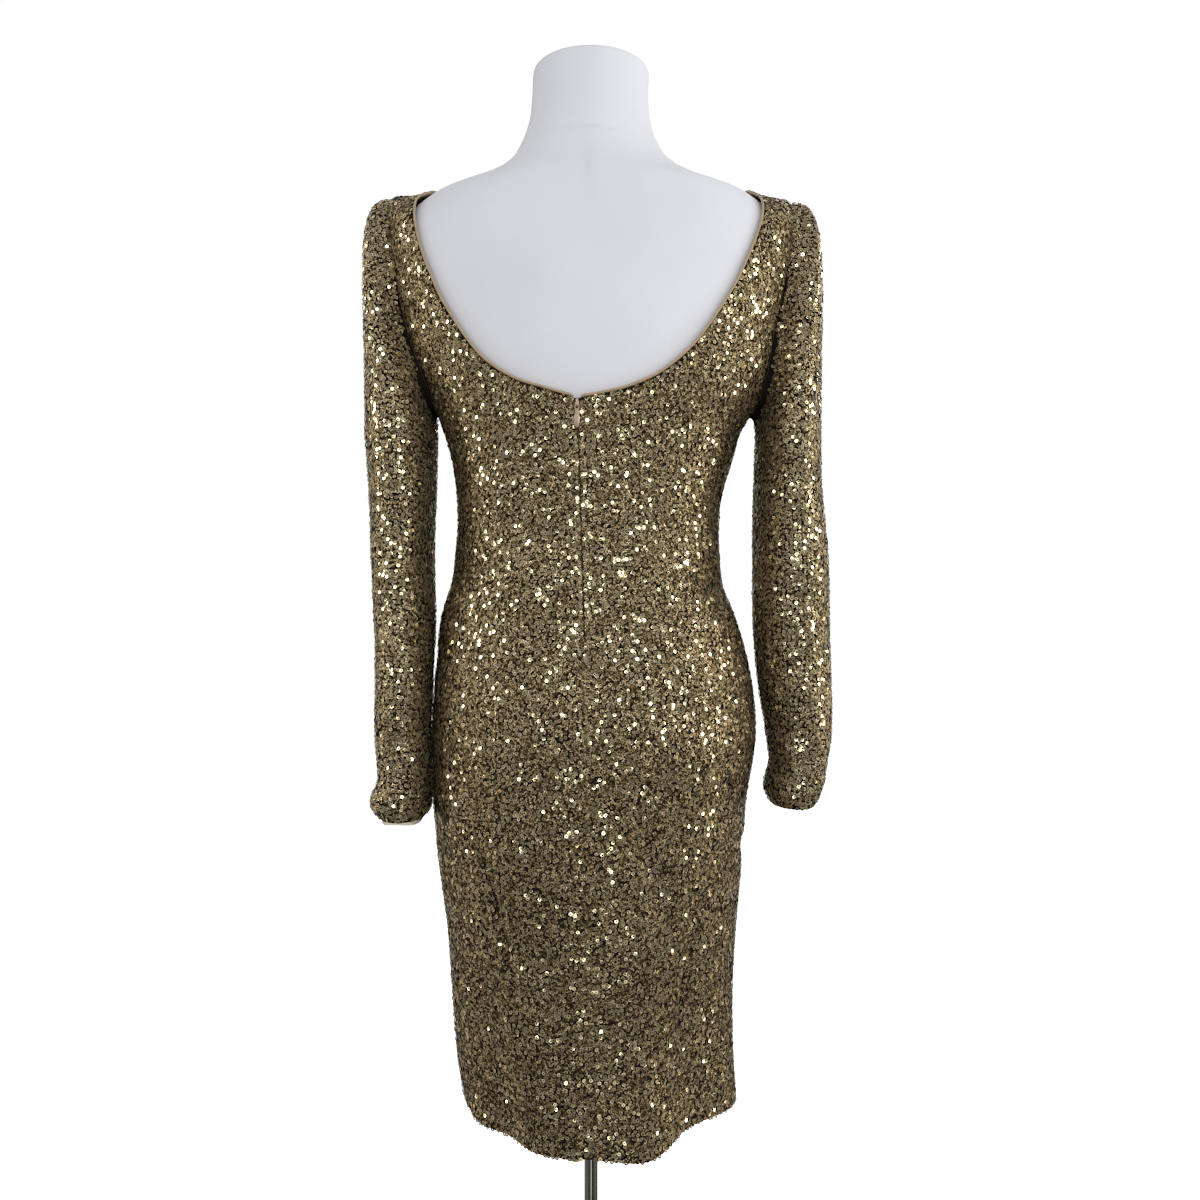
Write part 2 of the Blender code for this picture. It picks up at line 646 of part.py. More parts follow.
def sleeve_rings(table, right, cap_reach, cap_rise):
    """Outer points of a sleeve, row by row from the armhole to the cuff.

    The head's rows are cubic curves that leave the armhole outwards and arrive pointing down at the first
    level ring. turn is 0 on the outside of the arm, 90 at the back and 180 against the body.
    """
    angle, height = armhole_ring(right)
    count = len(angle)
    turn = np.arange(count) * 360 / count
    inner_edge = inside_point(angle, height)
    normal = normals_of(inside_point, angle, height)
    edge = inner_edge + CLOTH * normal
    around = np.roll(edge, -1, axis=0) - np.roll(edge, 1, axis=0)
    into = np.cross(normal, around)
    into *= np.sign((into * (edge.mean(axis=0) - edge)).sum(axis=1, keepdims=True))
    into /= np.linalg.norm(into, axis=1, keepdims=True)
    mirror = np.array([-1.0 if right else 1.0, 1, 1])
    first = edge + SEAM * into
    level = table[0, 0]
    last = sleeve_point(table, 0, turn, level + 0 * turn) * mirror
    outside = (1 + np.cos(np.radians(turn))) / 2
    lean = np.stack([1 + 0 * turn, CAP_SPREAD * np.sin(np.radians(turn)), 0 * turn], -1)
    reach = UNDERARM_REACH + (cap_reach - UNDERARM_REACH) * outside**CAP_POWER
    lean *= reach[:, None] * mirror
    lean[:, 2] += cap_rise * outside**2 + UNDERARM_RISE * (1 - outside)
    drop = (first[:, 2] - last[:, 2]) * (DROP_UNDERARM + (DROP_OUTSIDE - DROP_UNDERARM) * outside)
    pull = last + drop[:, None] * np.array([0, 0, 1])
    rings = [first]
    for k in range(1, HEAD_ROWS):
        s = (k / HEAD_ROWS) ** HEAD_POWER
        rings.append(
            first * (1 - s) ** 3
            + 3 * (first + lean) * s * (1 - s) ** 2
            + 3 * pull * s * s * (1 - s)
            + last * s**3
        )
    for at in sleeve_heights(table):
        fullness = ramp(at, level, level - SLEEVE_FOLD_FADE)
        rings.append(sleeve_point(table, fullness, turn, at + 0 * turn) * mirror)
    return np.array(rings), normal


def ring_normals(rings, right):
    """Outward normals of a sleeve's rings, from their neighbours round and along the sleeve."""
    around = np.roll(rings, -1, axis=1) - np.roll(rings, 1, axis=1)
    along = np.gradient(rings, axis=0)
    normal = np.cross(along, around) * (-1 if right else 1)
    return normal / np.linalg.norm(normal, axis=-1, keepdims=True)


def make_sleeve(name, table, right, cap_reach, cap_rise, finish):
    outer, edge_normal = sleeve_rings(table, right, cap_reach, cap_rise)
    normal = ring_normals(outer, right)
    normal[0] = edge_normal
    inner = outer - CLOTH * normal
    rows, columns = outer.shape[:2]
    faces = grid_faces(rows, columns, closed=True)
    if not right:
        faces = faces[:, ::-1]
    wall(name, outer.reshape(-1, 3), inner.reshape(-1, 3), faces, finish)
    return outer, inner, normal


# ---------------------------------------------------------------- trims, zip and stand


def make_binding(name, finish):
    """Piping round the neck edge: a tube that lies SEAM off the panels' edges, open at the centre back."""
    first = SKIRT_ROWS
    neck_row = SKIRT_ROWS + ARMHOLE_ROWS - FRONT_NECK_ROWS
    (front_right, front_right_in), (front_left, front_left_in) = front_sides
    runs = (
        (left_outer[first:-1], left_inner[first:-1], -1, -2),
        (front_left[:neck_row:-1], front_left_in[:neck_row:-1], 0, 1),
        (front_right[neck_row:], front_right_in[neck_row:], -1, -2),
        (right_outer[-2 : first - 1 : -1], right_inner[-2 : first - 1 : -1], 0, 1),
    )
    outer = np.vstack([run[0][:, run[2]] for run in runs])
    inner = np.vstack([run[1][:, run[2]] for run in runs])
    beside = np.vstack([run[0][:, run[3]] for run in runs])
    out = outer - inner
    out /= np.linalg.norm(out, axis=1, keepdims=True)
    along = np.gradient(outer, axis=0)
    along /= np.linalg.norm(along, axis=1, keepdims=True)
    away = np.cross(along, out)
    away *= np.sign(((outer - beside) * away).sum(axis=1, keepdims=True))
    away /= np.linalg.norm(away, axis=1, keepdims=True)
    path = inner + (PIPING_RADIUS + PIPING_LIFT) * out + (PIPING_RADIUS + SEAM) * away
    path[0] += 0.001 * along[0]
    path[-1] -= 0.001 * along[-1]
    flip = np.sign((np.cross(away, out) * along).sum(axis=1, keepdims=True))
    return tube(name, path, away * flip, out, PIPING_RADIUS, 6, finish)


def strip(name, angle, height, inset, thickness, finish):
    """A narrow wall that lies inside a panel, on a grid of the panel's own angles and heights."""
    normal = normals_of(inside_point, angle, height)
    outer = inside_point(angle, height) - inset * normal
    rows, columns = angle.shape
    inner = outer - thickness * normal
    return wall(name, outer.reshape(-1, 3), inner.reshape(-1, 3), grid_faces(rows, columns), finish)


def make_zip_chain(name, finish):
    height = back_centre_height[back_centre_height > ZIP_END]
    height = np.concatenate([[ZIP_END], height[:-1], [NECK_BACK - 0.003]])
    across = through(CENTRE_BACK, 1, height)
    offsets = np.array([-0.5, 0, 0.5]) * CHAIN_WIDTH
    height = height[:, None] + 0 * offsets
    angle = angle_across(across[:, None] - offsets, height)
    return strip(name, angle, height, CHAIN_INSET, CHAIN_THICKNESS, finish)


def make_hem_lining(name, finish):
    across = np.linspace(HEM_LINING_TO, HEM_LINING_FROM, 5)
    height = np.array([HEM - HEM_LINING_SHOWS, HEM, HEM + HEM_LINING_RISE])[:, None] + 0 * across
    return strip(name, angle_across(across, height), height, LINING_INSET, LINING, finish)


def make_cuff_lining(name, sleeve, right, finish):
    """A band inside a cuff that shows below it: the sleeve's own last rings, moved in and down."""
    inner, normal = (part[-CUFF_LINING_ROWS:] for part in sleeve[1:])
    normal = np.concatenate([normal, normal[-1:]])
    below = inner[-1:] - np.array([0, 0, CUFF_LINING_SHOWS])
    outer = np.concatenate([inner, below]) - LINING_INSET * normal
    rows, columns = outer.shape[:2]
    faces = grid_faces(rows, columns, closed=True)
    if not right:
        faces = faces[:, ::-1]
    inner = outer - LINING * normal
    return wall(name, outer.reshape(-1, 3), inner.reshape(-1, 3), faces, finish)


def make_form(name, finish):
    """The torso and neck: the body sections moved in, with a rounded rim above and below."""
    height = np.concatenate(
        [
            FORM_BOTTOM + RIM_BELOW[:, 0],
            FORM_TORSO_HEIGHTS,
            FORM_SHOULDER_HEIGHTS,
            FORM_NECK_HEIGHTS,
            NECK_TOP - RIM_ABOVE[::-1, 0],
        ]
    )
    rim_below = np.interp(height - FORM_BOTTOM, *RIM_BELOW.T)
    rim_above = np.interp(NECK_TOP - height, *RIM_ABOVE.T)
    inset = rim_below + rim_above + REST_GAP + through(FORM_SLACK, 1, height)
    turn = np.arange(FORM_COLUMNS) * 360 / FORM_COLUMNS
    angle, level = np.broadcast_arrays(turn[None, :], height[:, None])
    point = section_point(angle, level)
    point = point - inset[:, None, None] * normals_of(section_point, angle, level)
    point[..., 2] = np.where(rim_below[:, None] > 0, level, point[..., 2])
    point[..., 2] = np.where(rim_above[:, None] > 0, level, point[..., 2])
    rows = len(height)
    faces = [tuple(int(i) for i in f) for f in grid_faces(rows, FORM_COLUMNS, closed=True)]
    last = (rows - 1) * FORM_COLUMNS
    faces += [tuple(range(FORM_COLUMNS))[::-1], tuple(range(last, last + FORM_COLUMNS))]
    return add_mesh(name, point, faces, finish)


def prism(name, outline, low, high, frame, finish):
    """An outline of (u, v) points carried from low to high along w; frame gives u, v, w and the middle."""
    u, v, w, middle = frame
    flat = outline[:, :1] * u + outline[:, 1:] * v + middle
    count = len(outline)
    sides = [(i, (i + 1) % count, (i + 1) % count + count, i + count) for i in range(count)]
    faces = sides + [tuple(range(count))[::-1], tuple(range(count, 2 * count))]
    return add_mesh(name, np.vstack([flat + low * w, flat + high * w]), faces, finish, smooth=False)


def combine(thing, tool, operation):
    """Joins or cuts thing by tool, which stays as a hidden guide."""
    tool.hide_render = True
    tool.display_type = "WIRE"
    change = thing.modifiers.new(operation.lower(), "BOOLEAN")
    change.operation = operation
    change.solver = "EXACT"
    change.object = tool


def rounded_box(width, length, radius, steps=3):
    """A rectangle with round corners, anticlockwise."""
    corner = np.radians(np.linspace(0, 90, steps + 1))
    points = []
    for quarter, (x, y) in enumerate(((1, 1), (-1, 1), (-1, -1), (1, -1))):
        turn = corner + quarter * math.pi / 2
        middle = np.array([x * (width / 2 - radius), y * (length / 2 - radius)])
        points.append(middle + radius * np.column_stack([np.cos(turn), np.sin(turn)]))
    return np.vstack(points)


def make_zip_slider(slider_name, pull_name, finish):
    """A flat slider body with an arched bail, and the pull whose eye hangs in the arch."""
    across = float(through(CENTRE_BACK, 1, SLIDER_HEIGHT))
    angle = angle_across(across, SLIDER_HEIGHT)
    normal = normals_of(inside_point, angle, SLIDER_HEIGHT)
    seat = inside_point(angle, SLIDER_HEIGHT) + (CLOTH + SLIDER_OFF) * normal
    side = np.array([-1.0, 0, 0])
    side = side - normal * (side @ normal)
    side /= np.linalg.norm(side)
    up = np.cross(normal, side)
    body = prism(
        slider_name,
        rounded_box(SLIDER_WIDTH, SLIDER_LENGTH, SLIDER_CORNER),
        0,
        SLIDER_THICKNESS,
        (side, up, normal, seat),
        finish,
    )
    low = seat - BAIL_DROP * up
    foot, top = SLIDER_THICKNESS - 0.0005, SLIDER_THICKNESS + BAIL_OPENING + BAIL_BAR
    half, bar = BAIL_LENGTH / 2, BAIL_BAR
    under = top - bar
    arch = np.array(
        [
            (-half, foot),
            (-half, top - bar),
            (-half + bar, top),
            (half - bar, top),
            (half, top - bar),
            (half, foot),
            (half - bar, foot),
            (half - bar, under),
            (bar - half, under),
            (bar - half, foot),
        ]
    )
    bail = prism(
        slider_name + "_bail_guide", arch[::-1], -bar / 2, bar / 2, (up, normal, side, low), finish
    )
    combine(body, bail, "UNION")
    hinge = low + (SLIDER_THICKNESS + BAIL_OPENING / 2) * normal
    west, down, out = np.array([-1.0, 0, 0]), np.array([0, 0, -1.0]), np.array([0, 1.0, 0])
    rim = PULL_THICKNESS
    outline = np.vstack([PULL_OUTLINE, PULL_OUTLINE[::-1] * np.array([-1, 1])])
    origin = np.zeros(3)
    tab = prism(pull_name, outline, -rim / 2, rim / 2, (west, down, -out, origin), finish)
    eye_middle = origin + down * (rim / 2 + PULL_EYE_LENGTH / 2)
    eye = prism(
        pull_name + "_eye_guide",
        rounded_box(PULL_EYE_WIDTH, PULL_EYE_LENGTH, PULL_EYE_CORNER),
        -rim,
        rim,
        (west, down, -out, eye_middle),
        finish,
    )
    eye.location = hinge
    tab.location = hinge
    combine(tab, eye, "DIFFERENCE")
    return hinge


def make_collar(name, finish):
    """A ring round the pole's foot, with a bevelled top edge."""
    bore, top = POLE_RADIUS + STAND_GAP, BASE_THICKNESS + STAND_GAP + COLLAR_HEIGHT
    foot, bevel = BASE_THICKNESS + STAND_GAP, 0.002
    profile = np.array(
        [
            (COLLAR_RADIUS, foot),
            (COLLAR_RADIUS, top - bevel),
            (COLLAR_RADIUS - bevel, top),
            (bore, top),
            (bore, foot),
        ]
    )
    segments = 32
    turn = np.linspace(0, 2 * math.pi, segments, endpoint=False)
    ring = np.stack(
        [
            profile[:, :1] * np.cos(turn),
            profile[:, :1] * np.sin(turn),
            profile[:, 1:] + 0 * turn,
        ],
        -1,
    )
    number = np.arange(len(profile) * segments).reshape(len(profile), segments)
    around, onward = np.roll(number, -1, axis=1), np.roll(number, -1, axis=0)
    both = np.roll(onward, -1, axis=1)
    quads = np.stack([number, around, both, onward], -1).reshape(-1, 4)
    return add_mesh(name, ring, [tuple(int(i) for i in f) for f in quads], finish)


# ---------------------------------------------------------------- the pieces

for old in list(bpy.data.objects):
    bpy.data.objects.remove(old, do_unlink=True)

gold = material("gold_sequins", (0.23, 0.17, 0.09), 0.55, 0.38)
satin = material("beige_satin", (0.62, 0.47, 0.33), 0.0, 0.35)
ivory = material("ivory_lining", (0.80, 0.72, 0.60), 0.0, 0.6)
jersey = material("white_jersey", (0.78, 0.78, 0.82), 0.0, 0.6)
chrome = material("chrome", (0.75, 0.75, 0.76), 1.0, 0.15)
rose_metal = material("rose_metal", (0.70, 0.55, 0.45), 0.7, 0.35)
tape = material("zip_tape", (0.18, 0.13, 0.07), 0.0, 0.6)

left_outer, left_inner = make_back("back_left", NECK_LEFT, False, gold)
right_outer, right_inner = make_back("back_right", NECK_RIGHT, True, gold)
front_sides = make_front("front", gold)
left_sleeve = make_sleeve("sleeve_left", SLEEVE_LEFT, False, CAP_REACH_LEFT, CAP_RISE_LEFT, gold)
make_sleeve("sleeve_right", SLEEVE_RIGHT, True, CAP_REACH_RIGHT, CAP_RISE_RIGHT, gold)
make_binding("neck_binding", satin)
make_cuff_lining("cuff_lining", left_sleeve, False, ivory)
make_hem_lining("hem_lining", satin)
make_zip_chain("zip_chain", tape)
make_zip_slider("zip_slider", "zip_pull", rose_metal)
make_form("form_torso", jersey)

pole_low, pole_high = BASE_THICKNESS + STAND_GAP, FORM_BOTTOM - STAND_GAP
turned("stand_pole", [(POLE_RADIUS, pole_high), (POLE_RADIUS, pole_low)], 24, chrome)
turned(
    "stand_base",
    [
        (BASE_RADIUS - BASE_BEVEL, BASE_THICKNESS),
        (BASE_RADIUS - BASE_BEVEL / 3, BASE_THICKNESS * 0.85),
        (BASE_RADIUS, BASE_THICKNESS * 0.55),
        (BASE_RADIUS, 0.001),
        (BASE_RADIUS - 0.001, 0),
    ],
    64,
    chrome,
)
make_collar("stand_collar", chrome)
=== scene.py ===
"""Cocktail dress of sequinned net on a limbless dress form with its stand: the finished surfaces.

Metres, +Z up, the wearer's front towards -Y and the wearer's left towards +X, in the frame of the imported
model. Every cloth surface is worked out from the same body and sleeve sections as the solids, on a finer
grid and with the smaller creases, and the sequins are scattered over it.
"""

import bpy
import numpy as np
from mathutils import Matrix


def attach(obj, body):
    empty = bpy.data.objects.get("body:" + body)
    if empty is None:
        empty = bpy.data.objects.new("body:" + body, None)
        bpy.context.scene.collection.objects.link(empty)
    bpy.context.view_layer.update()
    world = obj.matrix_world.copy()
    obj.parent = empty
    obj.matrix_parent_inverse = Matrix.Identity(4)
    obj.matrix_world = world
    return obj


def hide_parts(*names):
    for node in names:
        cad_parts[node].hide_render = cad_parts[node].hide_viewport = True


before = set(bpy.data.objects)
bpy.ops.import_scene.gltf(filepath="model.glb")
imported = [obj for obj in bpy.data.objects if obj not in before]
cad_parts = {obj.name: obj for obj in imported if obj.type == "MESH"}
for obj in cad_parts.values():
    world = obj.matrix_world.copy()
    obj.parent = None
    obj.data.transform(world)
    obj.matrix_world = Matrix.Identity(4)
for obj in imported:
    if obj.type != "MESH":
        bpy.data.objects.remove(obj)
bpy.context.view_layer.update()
DRESS, PULL = "dress_and_form", "pull_tab"

# ---------------------------------------------------------------- studio
# A pale floor under an even white surround, with small lamps round the dress: the surround gives the soft
# light, and each lamp shows as a spark in the sequins that happen to face it.

CAMERA_PLACE, CAMERA_LENS = (-0.0088, 1.05, 1.03), 32.3
FLOOR_RINGS, FLOOR_STEPS = (0.0, 0.5, 2.0, 9.0), 96  # radii, and points round each
FLOOR_GLOW = 0.78
SOFT_LIGHT, SOFT_LEAN = 0.52, 0.55  # of the surround on cloth, with 1 for its own white; less from +X
ROOM_LIGHT, ROOM_CONTRAST, ROOM_RISE = 0.105, 4.5, 0.9  # the room that mirrors show
ROOM_FLANKS, ROOM_BEYOND = 2.0, 1.0  # how much brighter it is to both sides, and in front of the dress
ROOM_GRAIN = (5.0, 5.0, 2.0)  # of its light and dark parts, which stand upright
ROOM_SIDES, ROOM_SIDES_FALL = (1.0, 0.80, 0.54, 1.0), 6  # its warm light from both sides, and a power
LAMP_AIM, LAMP_DISTANCE = 1.0, 3.2  # the height that the lamps face, and how far off they stand
LAMP_GLOW = 21.0  # watts a square metre
BLOOM_FROM, BLOOM_STRENGTH, BLOOM_SIZE = 1.3, 1.2, 0.006  # the lens spreads each spark a little
CRISPNESS = 0.06
LAMPS = (
    # azimuth round the dress (90 is behind it), elevation, size
    (6, 12, 0.80),
    (34, 17, 0.52),
    (58, 18, 0.40),
    (80, 18, 0.46),
    (99, 19, 0.52),
    (115, 22, 0.44),
    (140, 13, 0.56),
    (158, 15, 0.50),
    (174, 12, 0.80),
    (94, 42, 0.42),
    (2, -14, 0.42),
    (70, -8, 0.38),
    (84, -13, 0.34),
    (100, -14, 0.34),
    (112, -6, 0.40),
    (172, -14, 0.50),
    (225, 25, 0.60),
    (270, 20, 0.60),
    (315, 25, 0.60),
)
POLE_LAMP_AIM = 0.52  # height on the pole, where this lamp makes a bright line
POLE_LAMP = (93.0, -26.0, 0.9, 0.26, 3.0)  # azimuth, elevation, distance, size, glow


class Wire:
    """An output socket. Sums and products of wires add Math nodes, also with a plain number first."""

    def __init__(self, tree, socket):
        self.tree, self.socket = tree, socket

    def math(self, operation, first, second=0.0):
        return add_node(self.tree, "ShaderNodeMath", {"operation": operation}, {0: first, 1: second})

    def __add__(self, other):
        return self.math("ADD", self, other)

    def __sub__(self, other):
        return self.math("SUBTRACT", self, other)

    def __rsub__(self, other):
        return self.math("SUBTRACT", other, self)

    def __mul__(self, other):
        return self.math("MULTIPLY", self, other)

    def __truediv__(self, other):
        return self.math("DIVIDE", self, other)

    def __pow__(self, other):
        return self.math("POWER", self, other)

    def __rpow__(self, other):
        return self.math("POWER", other, self)

    def __neg__(self):
        return self * -1.0

    __radd__, __rmul__ = __add__, __mul__


def add_node(tree, kind, settings=None, sockets=None, output=0):
    """Adds a node: its settings first, with stops for a ramp's (place, colour) rows, then its sockets."""
    node = tree.nodes.new(kind)
    for key, value in (settings or {}).items():
        if key != "stops":
            setattr(node, key, value)
            continue
        ramp = node.color_ramp.elements
        while len(ramp) < len(value):
            ramp.new(0.5)
        for stop, (place, colour) in zip(ramp, value):
            stop.position = place
            stop.color = (*colour, 1)
    for key, value in (sockets or {}).items():
        if isinstance(value, Wire):
            tree.links.new(value.socket, node.inputs[key])
        else:
            node.inputs[key].default_value = value
    return Wire(tree, node.outputs[output])


def mixed(tree, share, first, second, blend="MIX"):
    """A Mix node of two colours."""
    settings = {"data_type": "RGBA", "blend_type": blend}
    return add_node(tree, "ShaderNodeMix", settings, {0: share, 6: first, 7: second}, output=2)


def new_finish(name, **values):
    """A material with a Principled shader; values set its sockets, with _ for the spaces in their names."""
    made = bpy.data.materials.new(name)
    made.use_nodes = True
    tree = made.node_tree
    shader = tree.nodes["Principled BSDF"]
    for key, value in values.items():
        shader.inputs[key.replace("_", " ")].default_value = value
    return made, tree, shader


def linear(red, green, blue):
    """A colour's linear values from its usual 0 to 255 ones, with alpha."""
    values = np.array([red, green, blue]) / 255
    low, high = values / 12.92, ((values + 0.055) / 1.055) ** 2.4
    return (*np.where(values < 0.04045, low, high).tolist(), 1.0)


def add_piece(name, points, faces, finishes, face_finish=None, smooth=True, uv=None):
    """A mesh object from arrays: faces is a list of face arrays, and uv has a place for each point."""
    points = np.asarray(points, float).reshape(-1, 3)
    mesh = bpy.data.meshes.new(name)
    corner = np.concatenate([part.ravel() for part in faces])
    sizes = np.concatenate([np.full(len(part), part.shape[1]) for part in faces])
    mesh.vertices.add(len(points))
    mesh.vertices.foreach_set("co", points.ravel())
    mesh.loops.add(len(corner))
    mesh.loops.foreach_set("vertex_index", corner)
    mesh.polygons.add(len(sizes))
    mesh.polygons.foreach_set("loop_start", np.cumsum(sizes) - sizes)
    mesh.polygons.foreach_set("use_smooth", np.full(len(sizes), smooth))
    for each in finishes:
        mesh.materials.append(each)
    if face_finish is not None:
        mesh.polygons.foreach_set("material_index", face_finish)
    mesh.update(calc_edges=True)
    if uv is not None:
        layer = mesh.uv_layers.new(name="cloth")
        layer.uv.foreach_set("vector", np.asarray(uv, float).reshape(-1, 2)[corner].ravel())
    mesh.validate()
    thing = bpy.data.objects.new(name, mesh)
    bpy.context.scene.collection.objects.link(thing)
    return thing


camera_data = bpy.data.cameras.new("camera")
camera_data.lens = CAMERA_LENS
camera = bpy.data.objects.new("camera", camera_data)
camera.location = CAMERA_PLACE
camera.rotation_euler = (np.pi / 2, 0, np.pi)
bpy.context.scene.collection.objects.link(camera)
bpy.context.scene.camera = camera
bpy.context.scene.view_settings.view_transform = "Standard"

bpy.context.scene.use_nodes = True
after = bpy.context.scene.node_tree
after.nodes.clear()
seen = add_node(after, "CompositorNodeRLayers")
spread_out = add_node(
    after,
    "CompositorNodeGlare",
    {"glare_type": "BLOOM", "quality": "HIGH"},
    {"Image": seen, "Threshold": BLOOM_FROM, "Strength": BLOOM_STRENGTH, "Size": BLOOM_SIZE},
)
crisp = add_node(
    after,
    "CompositorNodeFilter",
    {"filter_type": "SHARPEN_DIAMOND"},
    {"Image": spread_out, "Fac": CRISPNESS},
)
picture = after.nodes.new("CompositorNodeComposite")
after.links.new(crisp.socket, picture.inputs["Image"])

pale, pale_tree, pale_shader = new_finish(
    "pale_floor", Roughness=0.9, Emission_Color=(1, 1, 1, 1), Emission_Strength=FLOOR_GLOW
)
place = add_node(pale_tree, "ShaderNodeTexCoord", output=3)
grain = add_node(pale_tree, "ShaderNodeTexNoise", sockets={"Vector": place, "Scale": 3.0})
shade = mixed(pale_tree, grain, linear(200, 200, 202), linear(206, 206, 207))
pale_tree.links.new(shade.socket, pale_shader.inputs["Base Color"])
turn = np.linspace(0, 2 * np.pi, FLOOR_STEPS, endpoint=False)
rings = np.array(FLOOR_RINGS)[:, None]
floor_points = np.stack([rings * np.cos(turn), rings * np.sin(turn), 0 * rings * turn], -1)
number = np.arange(floor_points[..., 0].size).reshape(floor_points.shape[:2])
beside = np.roll(number, -1, axis=1)
floor_faces = np.stack([number[:-1], number[1:], beside[1:], beside[:-1]], -1).reshape(-1, 4)
floor = add_piece("floor", floor_points, [floor_faces], [pale])
floor.visible_glossy, floor.visible_diffuse = False, False

world = bpy.data.worlds.new("surround")
world.use_nodes = True
bpy.context.scene.world = world
sky = world.node_tree
direction = add_node(sky, "ShaderNodeTexCoord")
sideways, behind, height_seen = (
    add_node(sky, "ShaderNodeSeparateXYZ", sockets={0: direction}, output=k) for k in range(3)
)
upright = add_node(sky, "ShaderNodeMapping", sockets={"Vector": direction, "Scale": ROOM_GRAIN})
cloudy = add_node(sky, "ShaderNodeTexNoise", sockets={"Vector": upright, "Scale": 1.0, "Detail": 2.0})
room = ROOM_LIGHT * np.e ** (ROOM_CONTRAST * (cloudy - 0.5) + ROOM_RISE * height_seen)
room = room * (1 + ROOM_FLANKS * sideways**2) * (1 + ROOM_BEYOND * (0.5 - behind * 0.5))
camera_ray, glossy_ray = (add_node(sky, "ShaderNodeLightPath", output=k) for k in (0, 3))
soft = SOFT_LIGHT * (1 - SOFT_LEAN * sideways)
strength = glossy_ray * room + (1 - glossy_ray) * (camera_ray + (1 - camera_ray) * soft)
sky.links.new(strength.socket, sky.nodes["Background"].inputs["Strength"])
warm = mixed(sky, glossy_ray * sideways**ROOM_SIDES_FALL, (1, 1, 1, 1), ROOM_SIDES)
sky.links.new(warm.socket, sky.nodes["Background"].inputs["Color"])


def add_lamp(aim, azimuth, elevation, distance, size, glow):
    """A square lamp that faces the point aim from a direction and a distance."""
    lamp_data = bpy.data.lights.new("lamp", "AREA")
    lamp_data.size = size
    lamp_data.energy = glow * size**2
    lamp = bpy.data.objects.new("lamp", lamp_data)
    round_by, up_by = np.radians(azimuth), np.radians(elevation)
    away = np.array([np.cos(round_by) * np.cos(up_by), np.sin(round_by) * np.cos(up_by), np.sin(up_by)])
    lamp.location = away * distance + aim
    lamp.rotation_euler = (np.pi / 2 - up_by, 0, round_by + np.pi / 2)
    bpy.context.scene.collection.objects.link(lamp)


for azimuth, elevation, size in LAMPS:
    add_lamp(np.array([0, 0, LAMP_AIM]), azimuth, elevation, LAMP_DISTANCE, size, LAMP_GLOW)
add_lamp(np.array([0, 0, POLE_LAMP_AIM]), *POLE_LAMP)

# ---------------------------------------------------------------- front and backs
# Three panels of net backed with a nude lining, cut to the figure: a front from side seam to side seam and
# two backs with a deep scoop, joined by the zip. Each hangs from the shoulders as one curved sheet.

CLOTH = 0.0016  # wall of the net with its lining
SEAM = 0.00035  # space between two pieces at a seam
HEM, UNDERARM = 0.545, 1.208
NECK_BACK, NECK_FRONT = 1.2095, 1.356  # feet of the necklines
LIFT_LEFT, LIFT_RIGHT = 0.0310, 0.0265  # how far the sleeve heads hold the shoulders up
LIFT_START, LIFT_WIDTH = 0.147, 0.043  # across
LIFT_FROM, LIFT_FULL = 1.27, 1.37  # heights
HEM_WAVE_RISE, FLUTE_RISE = 0.11, 0.30  # above the hem, where its waves and its flutes have gone
ZIP_PARTED, ZIP_PARTED_FROM = 0.0028, 1.1985  # how far each edge stands off the slider, and from what height
SKIRT_STEPS, UPPER_STEPS, FRONT_NECK_STEPS, PANEL_STEPS = 108, 46, 32, 31
NECK_FINENESS, ARMHOLE_FINENESS = 40, 400  # points for each of a neckline's rows, and round an armhole
NORMAL_STEP, NORMAL_TURN = 1e-4, 57  # metres up, and degrees round for each metre up
FOLD_RADIUS, WEAVE_RADIUS = 0.13, 0.135  # of the body, for the width of its folds and of its weave
